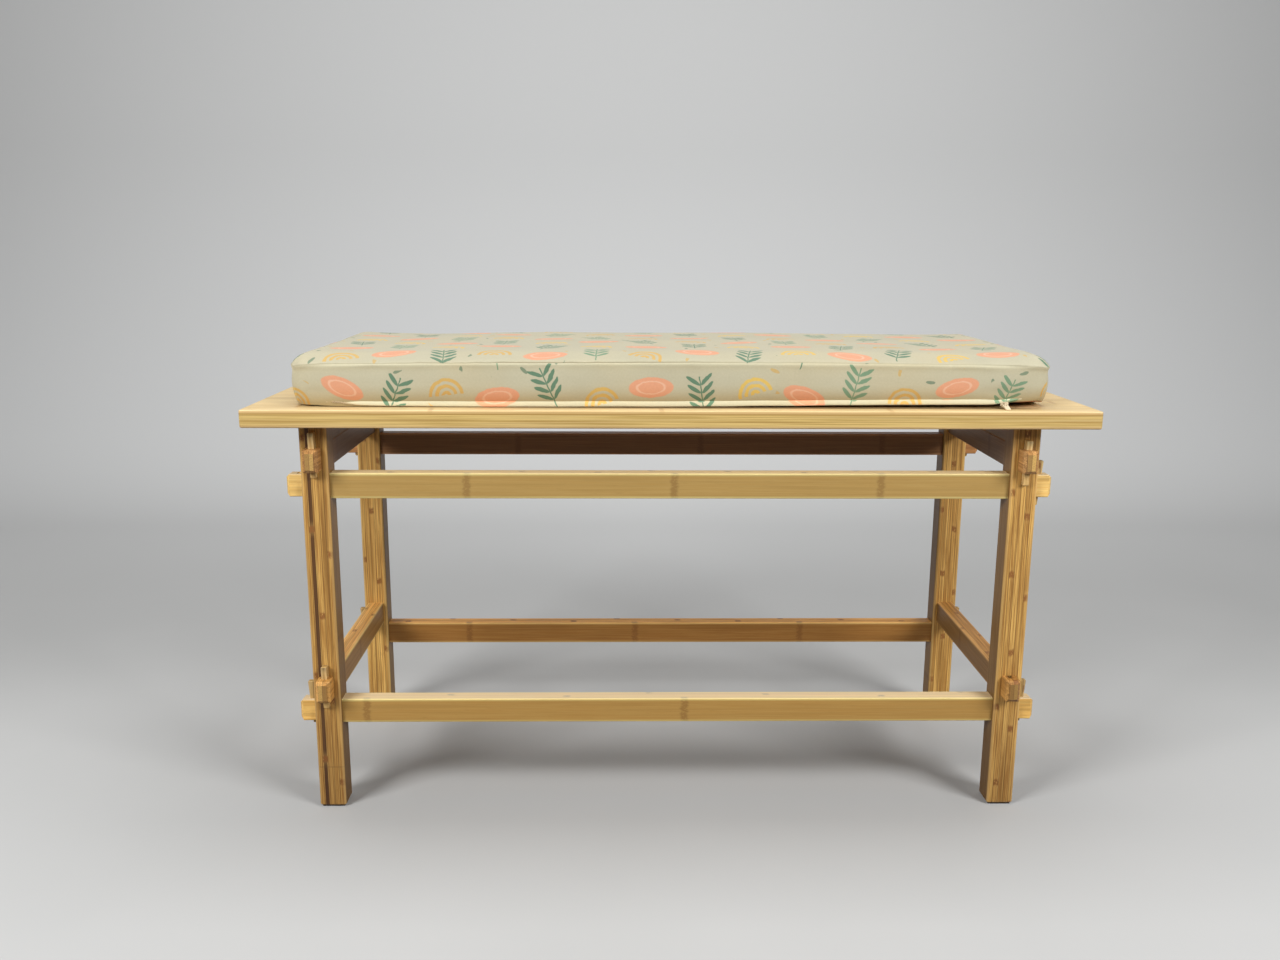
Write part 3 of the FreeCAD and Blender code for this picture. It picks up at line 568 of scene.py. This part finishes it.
lines_x = seam_lines(HALF_LENGTH, 0.0072)
lines_y = seam_lines(HALF_DEPTH, 0.0072)
lines_z = [EDGE_HEIGHT / 2 + h for h in seam_lines(EDGE_HEIGHT / 2, 0.0070)]
last = (len(lines_x) - 1, len(lines_y) - 1, len(lines_z) - 1)


def cushion_place(x, y, z):
    """Where a point of the plain box goes on the sewn cushion before it is stuffed."""
    up = min(1.0, z / EDGE_HEIGHT)
    from_end, from_front = HALF_LENGTH - abs(x), HALF_DEPTH - abs(y)
    reach_x, reach_y = CORNER_RADIUS - from_end, CORNER_RADIUS - from_front
    share_x, share_y = x / HALF_LENGTH, y / HALF_DEPTH
    if reach_x > 0 and reach_y > 0:
        scale = max(reach_x, reach_y) / math.hypot(reach_x, reach_y)
        x = math.copysign(HALF_LENGTH - CORNER_RADIUS + reach_x * scale, x)
        y = math.copysign(HALF_DEPTH - CORNER_RADIUS + reach_y * scale, y)
    swell = 4 * up * (1 - up)
    rolled = max(0.0, 1 - (EDGE_HEIGHT - z) / ROLL) ** 2
    y -= math.copysign(DRAW * (1 - share_x ** 2) * max(0.0, up - 0.19) / 0.81 * abs(share_y) ** 6, y)
    y += math.copysign((0.0012 * swell - 0.0044 * rolled) * abs(share_y) ** 30, y)
    x += math.copysign((0.0012 * swell - 0.0028 * rolled) * abs(share_x) ** 60, x)
    corner = math.exp(-((from_end / SHARP_CORNER) ** 2) - (from_front / SHARP_CORNER) ** 2)
    x -= math.copysign(0.0050 * corner * (1 - up) ** 3, x)
    y -= math.copysign(0.0022 * corner * (1 - up) ** 3, y)
    soft_corner = math.exp(-((from_end / SOFT_CORNER) ** 2) - (from_front / SOFT_CORNER) ** 2)
    x -= math.copysign(0.0014 * soft_corner * up ** 4, x)
    y -= math.copysign(0.0014 * soft_corner * up ** 4, y)
    seam = EDGE_HEIGHT + 0.0005 - 0.0028 * share_x ** 2 - 0.0016 * share_x ** 12 - 0.0008 * soft_corner
    z *= seam / EDGE_HEIGHT
    if up == 1.0:
        rise = (1 - math.exp(-(from_end / 0.0052) ** 1.5)) * (1 - math.exp(-(from_front / 0.0065) ** 1.5))
        z += rise * (
            SHOULDER + 0.0065 * abs(share_x) ** 12
        ) + CROWN * (1 - share_x ** 2) * (1 - share_y ** 2)
    foot = along_table(FOOT_LIFTS, x) * max(0.0, min(1.0, (-y - LIFTED_FROM) / LIFTED_OVER)) ** 2
    foot += 0.0020 * corner * (y > 0)
    z += foot * (1 - up) ** 2
    return Vector((x, y, board_top + z))


verts, index, flat = [], {}, []


def corner_of(i, j, k):
    key = (i, j, k)
    if key not in index:
        index[key] = len(verts)
        box_point = (lines_x[i], lines_y[j], lines_z[k])
        flat.append(box_point)
        verts.append(cushion_place(*box_point))
    return index[key]


faces, panels = [], []


def add_panel(panel, across, rising, corner_at, turned_over):
    """One flat-cut panel of the cover, as a grid of faces that all look outward."""
    for a in range(across):
        for b in range(rising):
            ring = [
                corner_of(*corner_at(a, b)), corner_of(*corner_at(a + 1, b)),
                corner_of(*corner_at(a + 1, b + 1)), corner_of(*corner_at(a, b + 1)),
            ]
            faces.append(ring[::-1] if turned_over else ring)
            panels.append(panel)


add_panel("bottom", last[0], last[1], lambda a, b: (a, b, 0), True)
add_panel("top", last[0], last[1], lambda a, b: (a, b, last[2]), False)
add_panel("front", last[0], last[2], lambda a, b: (a, 0, b), False)
add_panel("back", last[0], last[2], lambda a, b: (a, last[1], b), True)
add_panel("left", last[1], last[2], lambda a, b: (0, a, b), True)
add_panel("right", last[1], last[2], lambda a, b: (last[0], a, b), False)
cushion = add_mesh("cushion", verts, faces)

# Each panel was cut from the cloth by itself, so the print starts afresh on each.
FRONT_CUT = (1.13, 5.205)
cut = {
    "top": lambda x, y, z: (x, y),
    "bottom": lambda x, y, z: (x + 3.1, -y + 1.7),
    "front": lambda x, y, z: (x + FRONT_CUT[0], z + FRONT_CUT[1]),
    "back": lambda x, y, z: (-x + 2.4, z + 6.13),
    "left": lambda x, y, z: (-y + 4.3, z + 7.4),
    "right": lambda x, y, z: (y + 6.2, z + 8.3),
}
layer = cushion.data.uv_layers.new(name="cloth")
for polygon, panel in zip(cushion.data.polygons, panels):
    for loop in polygon.loop_indices:
        layer.data[loop].uv = cut[panel](*flat[cushion.data.loops[loop].vertex_index])


def seam_gaps(x, y, z):
    """How far a point of the box is from the top seam and from the bottom one."""
    side = min(HALF_LENGTH - abs(x), HALF_DEPTH - abs(y))
    return math.hypot(side, EDGE_HEIGHT - z), math.hypot(side, z)


# A short cloth simulation with a little air in it rounds the panels. The seams are held, and no
# point may move further than the longest sag.
HELD_BELOW, LONGEST_SAG, SIMULATED_FRAMES = 0.0087, 0.0024, 20
rest = [v.co.copy() for v in cushion.data.vertices]
held = cushion.vertex_groups.new(name="held")
for n, point in enumerate(flat):
    if point[2] < HELD_BELOW:
        held.add([n], 1.0, "REPLACE")
    elif seam_gaps(*point)[0] < 1e-6:
        held.add([n], 0.6, "REPLACE")
cloth = cushion.modifiers.new("cloth", "CLOTH")
cloth.settings.quality = 6
cloth.settings.mass = 0.3
cloth.settings.tension_stiffness = cloth.settings.compression_stiffness = 12
cloth.settings.bending_stiffness = 0.6
cloth.settings.use_pressure = True
cloth.settings.uniform_pressure_force = 4
cloth.settings.vertex_group_mass = "held"
cloth.settings.effector_weights.gravity = 0
cloth.collision_settings.use_collision = False
for step in range(1, SIMULATED_FRAMES + 1):
    scene.frame_set(step)
settled = cushion.evaluated_get(bpy.context.evaluated_depsgraph_get()).to_mesh()
moved = [v.co.copy() for v in settled.vertices]
cushion.modifiers.remove(cloth)
cushion.vertex_groups.clear()
scene.frame_set(1)
for vertex, start, end in zip(cushion.data.vertices, rest, moved):
    away = end - start
    vertex.co = start + away * min(1.0, LONGEST_SAG / max(away.length, 1e-9))

# Sewing draws each seam in, and the cloth puckers a little beside it. A few soft folds stay in
# the front: over the zip's closed end and by the left foot. Each fold has its place along and up
# the front, its half length and half height, and its depth.
FOLDS = (
    (0.352, 0.016, 0.026, 0.0024, 0.0026), (-0.372, 0.016, 0.012, 0.0040, 0.0016),
    (0.385, 0.030, 0.012, 0.006, 0.0012), (0.371, 0.004, 0.004, 0.006, 0.0020),
)


def seam_depth(x, y):
    """The front seam lies deepest left of the middle and eases out towards the ends."""
    return 0.3 + 0.7 * math.exp(-(((x + 0.12) / 0.19) ** 2)) if y < 0 else 0.7


cushion.data.update()
normals = [v.normal.copy() for v in cushion.data.vertices]
for n, (x, y, z) in enumerate(flat):
    vertex = cushion.data.vertices[n]
    top_gap, foot_gap = seam_gaps(x, y, z)
    gap = min(top_gap, foot_gap)
    along = x if HALF_DEPTH - abs(y) < HALF_LENGTH - abs(x) else y
    pucker = noise.noise(Vector((along * 70, gap * 40, 3.0 + z * 20))) * math.exp(-((gap / 0.013) ** 2))
    slack = noise.noise(Vector((x * 11, y * 15, z * 26))) * 0.0011
    slack += noise.noise(Vector((x * 31, y * 37, z * 55))) * 0.0004
    groove = math.exp(-((top_gap / 0.0009) ** 2))
    ridge = math.exp(-(((top_gap - 0.0030) / 0.0018) ** 2))
    push = 0.0010 * pucker + slack - 0.0024 * groove * seam_depth(x, y) + 0.0002 * ridge
    if y < -HALF_DEPTH + 1e-6:
        for middle, height, half_x, half_z, depth in FOLDS:
            push -= depth * math.exp(
                -(((x - middle) / half_x) ** 2) - ((z - height + 0.1 * (x - middle)) / half_z) ** 2
            )
    if z > 0.009 or top_gap < 0.02:
        vertex.co += normals[n] * push

# What the cloth's finish reads off the mesh: painted shade in the seam, a painted highlight in the
# band under it and painted shade that darkens the foot, tinted warm.
HIGHLIGHT_BAND, FOOT_SHADE_BELOW = 0.0088, 0.026
shade = cushion.data.attributes.new("seam_shade", "FLOAT", "POINT")
faded = cushion.data.attributes.new("faded", "FLOAT", "POINT")
grimy = cushion.data.attributes.new("grimy", "FLOAT", "POINT")
for n, point in enumerate(flat):
    gap = seam_gaps(*point)[0]
    if point[2] < EDGE_HEIGHT:
        faded.data[n].value = math.exp(-((gap / HIGHLIGHT_BAND) ** 3)) * min(1.0, gap / NEAR_SEAM[1])
    # Painted shade: the cloth darkens, tinted warm, towards the foot.
    grimy.data[n].value = 1.15 * max(0.0, 1 - point[2] / FOOT_SHADE_BELOW) ** 1.5
    shade.data[n].value = seam_depth(point[0], point[1]) if gap < 1e-6 else 0.0
crease = cushion.data.attributes.new("crease_edge", "FLOAT", "EDGE")
for edge in cushion.data.edges:
    if all(seam_gaps(*flat[v])[0] < 1e-6 for v in edge.vertices):
        crease.data[edge.index].value = 0.7
rounding = cushion.modifiers.new("rounding", "SUBSURF")
rounding.levels = rounding.render_levels = 1
bpy.context.view_layer.update()
finished = bpy.data.meshes.new_from_object(cushion.evaluated_get(bpy.context.evaluated_depsgraph_get()))
cushion.modifiers.clear()
cushion.data = finished


THREAD_PITCH = 0.0009


def printed_cotton(name, paleness=1.0):
    """Plain-woven cotton on a sand ground, printed with leaf sprigs, pebbles and arcs. paleness
    multiplies the cloth's colour, so that all of it is lighter."""
    material, tree, shader = new_material(name)
    shared = tree.nodes.new("ShaderNodeUVMap")
    shared.uv_map = "cloth"
    cloth_at = shared.outputs["UV"]
    cloth_axes = split_axes(tree, cloth_at)
    wobble = times(tree, calc(tree, "SUBTRACT", noise_at(tree, cloth_at, 160, 2), 0.5), 0.0022)
    u = calc(tree, "ADD", cloth_axes[0], wobble)
    v = calc(tree, "SUBTRACT", cloth_axes[1], wobble)

    def cell(width, height, seed, drop):
        """A repeat whose odd columns drop: the place in a cell from its middle, its turn in the
        row of motifs, and its chances."""
        column = calc(tree, "FLOOR", calc(tree, "DIVIDE", u, width))
        odd = calc(tree, "FRACT", times(tree, column, 0.5))
        row_place = calc(tree, "ADD", calc(tree, "DIVIDE", v, height), times(tree, odd, 2 * drop))
        row = calc(tree, "FLOOR", row_place)
        chance = tree.nodes.new("ShaderNodeTexWhiteNoise")
        chance.noise_dimensions = "2D"
        label = tree.nodes.new("ShaderNodeCombineXYZ")
        tree.links.new(calc(tree, "ADD", column, seed), label.inputs[0])
        tree.links.new(row, label.inputs[1])
        tree.links.new(label.outputs[0], chance.inputs["Vector"])
        cx = times(
            tree, calc(tree, "SUBTRACT", calc(tree, "FRACT", calc(tree, "DIVIDE", u, width)), 0.5), width,
        )
        cy = times(tree, calc(tree, "SUBTRACT", calc(tree, "FRACT", row_place), 0.5), height)
        turn = calc(
            tree, "FRACT",
            calc(tree, "DIVIDE", calc(tree, "ADD", calc(tree, "ADD", column, row), 0.5), 3.0),
        )
        return cx, cy, turn, split_axes(tree, chance.outputs["Color"])

    def turned(cx, cy, angle):
        cosine, sine = calc(tree, "COSINE", angle), calc(tree, "SINE", angle)
        return (
            calc(tree, "ADD", times(tree, cx, cosine), times(tree, cy, sine)),
            calc(tree, "SUBTRACT", times(tree, cy, cosine), times(tree, cx, sine)),
        )

    def inside(value, edge, soft=0.0005):
        return inverse(tree, step_up(tree, value, edge - soft, edge + soft))

    def oval(a, b, width, height):
        a, b = calc(tree, "DIVIDE", a, width), calc(tree, "DIVIDE", b, height)
        return calc(tree, "SQRT", calc(tree, "ADD", times(tree, a, a), times(tree, b, b)))

    grain = noise_at(tree, cloth_at, 14, 3)
    colour = blend_colour(tree, grain, (0.450, 0.412, 0.287), (0.512, 0.480, 0.348))
    tinge = step_up(tree, noise_at(tree, cloth_at, 9, 2), 0.40, 0.65)
    colour = blend_colour(tree, times(tree, tinge, 0.25), colour, (0.57, 0.475, 0.29))

    cx, cy, pick, more = cell(0.054, 0.052, 3.0, 0.20)
    sway = times(tree, calc(tree, "SUBTRACT", more[0], 0.5), 0.9)
    ax, ay = (calc(tree, "DIVIDE", place, 1.15) for place in turned(cx, cy, sway))

    pebble = times(
        tree, inside(oval(ax, ay, 0.0205, 0.0095), 1.0, 0.04), calc(tree, "LESS_THAN", pick, 0.34),
    )
    from_ring = calc(tree, "ABSOLUTE", calc(tree, "SUBTRACT", oval(ax, ay, 0.0205, 0.0095), 0.62))
    ring = times(tree, pebble, inside(from_ring, 0.055, 0.03))
    colour = blend_colour(tree, times(tree, pebble, 0.80), colour, (0.74, 0.300, 0.165))
    colour = blend_colour(tree, times(tree, ring, 0.6), colour, (0.76, 0.50, 0.36))

    is_sprig = times(tree, calc(tree, "GREATER_THAN", pick, 0.34), calc(tree, "LESS_THAN", pick, 0.70))
    side = calc(tree, "ABSOLUTE", ax)
    climb = calc(tree, "SUBTRACT", ay, times(tree, side, 0.75))
    rung = times(
        tree, calc(tree, "SUBTRACT", calc(tree, "FRACT", calc(tree, "DIVIDE", climb, 0.0078)), 0.5),
        0.0078,
    )
    leaf = inside(oval(calc(tree, "SUBTRACT", side, 0.0062), rung, 0.0058, 0.0024), 1.0, 0.08)
    within = inside(calc(tree, "ABSOLUTE", climb), 0.0155, 0.0003)
    stem = times(tree, inside(side, 0.0006, 0.0003), inside(calc(tree, "ABSOLUTE", ay), 0.0195, 0.0004))
    sprig = times(tree, is_sprig, calc(tree, "MAXIMUM", stem, times(tree, leaf, within)))
    green = blend_colour(
        tree, step_up(tree, more[2], 0.35, 0.65), (0.070, 0.180, 0.110), (0.140, 0.265, 0.160),
    )
    colour = blend_colour(tree, times(tree, sprig, 0.88), colour, green)

    is_arc = calc(tree, "GREATER_THAN", pick, 0.70)
    low_y = calc(tree, "ADD", ay, 0.007)
    radius = calc(tree, "SQRT", calc(tree, "ADD", times(tree, ax, ax), times(tree, low_y, low_y)))
    bands = inside(
        calc(
            tree, "ABSOLUTE",
            calc(tree, "SUBTRACT", calc(tree, "FRACT", calc(tree, "DIVIDE", radius, 0.0058)), 0.5),
        ),
        0.27, 0.06,
    )
    arc = times(tree, bands, times(tree, inside(radius, 0.0172), calc(tree, "GREATER_THAN", low_y, 0.0)))
    arc = times(tree, arc, is_arc)
    colour = blend_colour(
        tree, times(tree, arc, 0.85), colour,
        blend_colour(tree, step_up(tree, more[2], 0.45, 0.55), (0.70, 0.46, 0.085), (0.60, 0.36, 0.085)),
    )

    sx, sy, _, small_more = cell(0.033, 0.023, 41.0, 0.5)
    lean = times(tree, small_more[0], 6.28)
    bx, by = turned(sx, sy, lean)
    seed_shape = times(
        tree, inside(oval(bx, by, 0.0052, 0.0019), 1.0, 0.10),
        calc(tree, "LESS_THAN", small_more[2], 0.5),
    )
    clear = step_up(tree, oval(ax, ay, 0.023, 0.020), 0.95, 1.0)
    seed_shape = times(tree, seed_shape, clear)
    seed_colour = blend_colour(
        tree, step_up(tree, small_more[1], 0.49, 0.51), (0.13, 0.20, 0.13), (0.55, 0.36, 0.12),
    )
    colour = blend_colour(tree, times(tree, seed_shape, 0.8), colour, seed_colour)

    warp, weft = (
        calc(tree, "SINE", times(tree, axis, 2 * math.pi / THREAD_PITCH)) for axis in cloth_axes[:2]
    )
    weave = times(tree, warp, weft)
    slub = noise_at(tree, cloth_at, 420, 2)
    colour = blend_colour(
        tree, 1.0, colour,
        blend_colour(
            tree, calc(tree, "ADD", 0.5, times(tree, weave, 0.25)), (0.93, 0.93, 0.92),
            (1.04, 1.04, 1.04),
        ),
        "MULTIPLY",
    )
    colour = blend_colour(
        tree, 1.0, colour, blend_colour(tree, slub, (0.93, 0.93, 0.92), (1.06, 1.06, 1.06)), "MULTIPLY",
    )
    # Painted light read off the mesh: a highlight under the seam, shade at the foot and shade in the
    # seam.
    for attribute, share, tint in (
        ("faded", 1.0, (1.20, 1.20, 1.17)), ("grimy", 1.0, (0.76, 0.63, 0.44)),
        ("seam_shade", 0.8, (0.42, 0.37, 0.28)),
    ):
        stitched = tree.nodes.new("ShaderNodeAttribute")
        stitched.attribute_name = attribute
        colour = blend_colour(
            tree, times(tree, stitched.outputs["Fac"], share), colour,
            blend_colour(tree, 1.0, colour, tint, "MULTIPLY"),
        )
    if paleness != 1.0:
        colour = blend_colour(tree, 1.0, colour, (paleness, paleness, 0.97 * paleness), "MULTIPLY")
    tree.links.new(colour, shader.inputs["Base Color"])
    tree.links.new(calc(tree, "ADD", 0.80, times(tree, slub, 0.14)), shader.inputs["Roughness"])
    shader.inputs["Sheen Weight"].default_value = 0.12
    shader.inputs["Sheen Roughness"].default_value = 0.5
    shader.inputs["Specular IOR Level"].default_value = 0.25
    height = calc(tree, "ADD", times(tree, weave, 0.4), times(tree, slub, 0.8))
    emboss(tree, shader, height, 0.30, 0.0003)
    return material


cotton = printed_cotton("printed_cotton")
cushion.data.materials.clear()
cushion.data.materials.append(cotton)
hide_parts("cushion_cover", "foam_core")
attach(cushion, "cushion")


# The zip's placket: a narrow rolled lip of the same cotton along the front foot. It shades the zip,
# rises with the foot to the right, and runs out in a fold past the closed slider.
TAPE_LOW, TAPE_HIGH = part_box("zip_tape")
LIP_MIDDLE = (
    (-0.362, 0.4706), (-0.30, 0.4696), (-0.15, 0.4695), (0.0, 0.4699), (0.10, 0.4709), (0.20, 0.4721),
    (0.34, 0.4727), (0.371, 0.4762),
)
LIP_WIDTH = ((-0.362, 0.0004), (-0.325, 0.8), (-0.25, 1.0), (0.33, 1.0), (0.352, 0.75), (0.371, 0.15))
LIP_SECTION = (
    (0.00005, 0.0034), (-0.00055, 0.0029), (-0.00120, 0.0020), (-0.00165, 0.0008), (-0.00185, -0.0006),
    (
        -0.00175, -0.0018,
    ), (-0.00135, -0.0027), (-0.00075, -0.0030), (-0.00020, -0.0026), (0.00005, -0.0016),
)
FRONT_FACE = -HALF_DEPTH
lip_verts, lip_faces, lip_cloth = [], [], []
LIP_START, LIP_LENGTH, LIP_STEPS = -0.362, 0.733, 244
lip_places = [LIP_START + LIP_LENGTH * n / LIP_STEPS for n in range(LIP_STEPS + 1)]
for x in lip_places:
    middle, width = along_table(LIP_MIDDLE, x), along_table(LIP_WIDTH, x)
    middle += 0.0004 * noise.noise(Vector((x * 22, 0.3, 0.1)))
    depth = width * (1 + 0.05 * noise.noise(Vector((x * 40, 2.3, 0.1))))
    for out, rise in LIP_SECTION:
        lip_verts.append((x, FRONT_FACE + out * depth, middle + rise * width))
        lip_cloth.append((x + FRONT_CUT[0], middle + rise * width - board_top + FRONT_CUT[1]))
count = len(LIP_SECTION)
for n in range(len(lip_places) - 1):
    for s in range(count):
        a, b = n * count + s, n * count + (s + 1) % count
        lip_faces.append((a, b, b + count, a + count))
lip_faces.append(tuple(reversed(range(count))))
lip_faces.append(tuple((len(lip_places) - 1) * count + s for s in range(count)))
placket = add_mesh("cushion_placket", lip_verts, lip_faces)
layer = placket.data.uv_layers.new(name="cloth")
for loop in placket.data.loops:
    layer.data[loop.index].uv = lip_cloth[loop.vertex_index]
placket.data.materials.append(printed_cotton("printed_cotton_folded", 1.44))
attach(placket, "cushion")


# The zip: a cream twill tape sewn in behind the placket, with a nylon coil along its lower edge,
# and a cream slider and pull at its closed right end.
TWILL_PITCH = 0.0011


def cream_twill(name, light, dark):
    material, tree, shader = new_material(name)
    where = tree.nodes.new("ShaderNodeTexCoord").outputs["Object"]
    x, _, z = split_axes(tree, where)
    slant = times(tree, calc(tree, "ADD", x, z), 2 * math.pi / TWILL_PITCH)
    rib = calc(tree, "ADD", 0.5, times(tree, calc(tree, "SINE", slant), 0.5))
    fuzz = noise_at(tree, where, 700, 3)
    tree.links.new(
        blend_colour(tree, times(tree, calc(tree, "ADD", rib, fuzz), 0.5), dark, light),
        shader.inputs["Base Color"],
    )
    tree.links.new(calc(tree, "ADD", 0.76, times(tree, fuzz, 0.16)), shader.inputs["Roughness"])
    shader.inputs["Sheen Weight"].default_value = 0.15
    emboss(tree, shader, rib, 0.4, 0.0002)
    return material


def zip_height(x):
    """The zip hangs just behind the placket's lower edge."""
    return along_table(LIP_MIDDLE, x) - 0.0030 * along_table(LIP_WIDTH, x) + 0.0009


TAPE_SECTION = (
    (-0.0003, -0.0004), (-0.0003, 0.0035), (-0.0001, 0.0038), (0.0001, 0.0035), (0.0001, -0.0004),
    (-0.0001, -0.0007),
)
TAPE_STEPS = 182
tape_places = [TAPE_LOW.x + (TAPE_HIGH.x - TAPE_LOW.x) * n / TAPE_STEPS for n in range(TAPE_STEPS + 1)]
tape_verts, tape_faces = [], []
for x in tape_places:
    for out, rise in TAPE_SECTION:
        tape_verts.append((x, FRONT_FACE - 0.0001 + out, zip_height(x) + rise))
count = len(TAPE_SECTION)
for n in range(len(tape_places) - 1):
    for s in range(count):
        a, b = n * count + s, n * count + (s + 1) % count
        tape_faces.append((a, a + count, b + count, b))
tape_faces.append(tuple(range(count)))
tape_faces.append(tuple((len(tape_places) - 1) * count + s for s in reversed(range(count))))
tape = add_mesh("zip_tape_woven", tape_verts, tape_faces)
tape.data.materials.append(cream_twill("cream_twill_tape", (0.80, 0.69, 0.50), (0.64, 0.52, 0.35)))
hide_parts("zip_tape")
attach(tape, "cushion")


def coil_mesh():
    """The nylon coil: a flattened helix of fine monofilament."""
    pitch, reach_y, reach_z, wire = 0.0016, 0.00042, 0.00095, 0.00026
    turns = int((TAPE_HIGH.x - TAPE_LOW.x - 0.012) / pitch)
    verts, faces = [], []
    per_turn, sides = 8, 4
    total = turns * per_turn
    for n in range(total + 1):
        angle = 2 * math.pi * n / per_turn
        x = TAPE_LOW.x + 0.006 + pitch * n / per_turn
        centre = Vector(
            (
                x, FRONT_FACE - 0.0009 + reach_y * math.cos(angle),
                zip_height(x) + reach_z * math.sin(angle),
            ),
        )
        outward = Vector((0, math.cos(angle), math.sin(angle)))
        for s in range(sides):
            turn = 2 * math.pi * s / sides
            verts.append(centre + outward * wire * math.cos(turn) + Vector((wire * math.sin(turn), 0, 0)))
    for n in range(total):
        for s in range(sides):
            a, b = n * sides + s, n * sides + (s + 1) % sides
            faces.append((a, a + sides, b + sides, b))
    faces.append(tuple(range(sides)))
    faces.append(tuple(total * sides + s for s in reversed(range(sides))))
    return add_mesh("zip_coil", verts, faces)


coil = coil_mesh()
coil_finish, tree, shader = new_material("nylon_coil")
where = tree.nodes.new("ShaderNodeTexCoord").outputs["Object"]
cloudy = noise_at(tree, where, 240, 3)
tree.links.new(
    blend_colour(tree, cloudy, (0.74, 0.60, 0.40), (0.62, 0.48, 0.30)), shader.inputs["Base Color"],
)
tree.links.new(calc(tree, "ADD", 0.34, times(tree, cloudy, 0.2)), shader.inputs["Roughness"])
coil.data.materials.append(coil_finish)
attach(coil, "cushion")


def enamelled(node, light, dark):
    """Cream enamel on a die-cast zip part, thin and darker where fingers rub it."""
    material, tree, shader = new_material("enamel_" + node)
    where = tree.nodes.new("ShaderNodeTexCoord").outputs["Object"]
    rubbed = noise_at(tree, where, 300, 3)
    orange_peel = noise_at(tree, where, 1500, 2)
    tree.links.new(
        blend_colour(tree, step_up(tree, rubbed, 0.4, 0.7), light, dark), shader.inputs["Base Color"],
    )
    tree.links.new(calc(tree, "ADD", 0.3, times(tree, rubbed, 0.25)), shader.inputs["Roughness"])
    emboss(tree, shader, orange_peel, 0.2, 0.0001)
    cover(node, material)


enamelled("zip_slider", (0.72, 0.60, 0.42), (0.56, 0.45, 0.30))
enamelled("zip_pull", (0.80, 0.68, 0.48), (0.66, 0.53, 0.36))
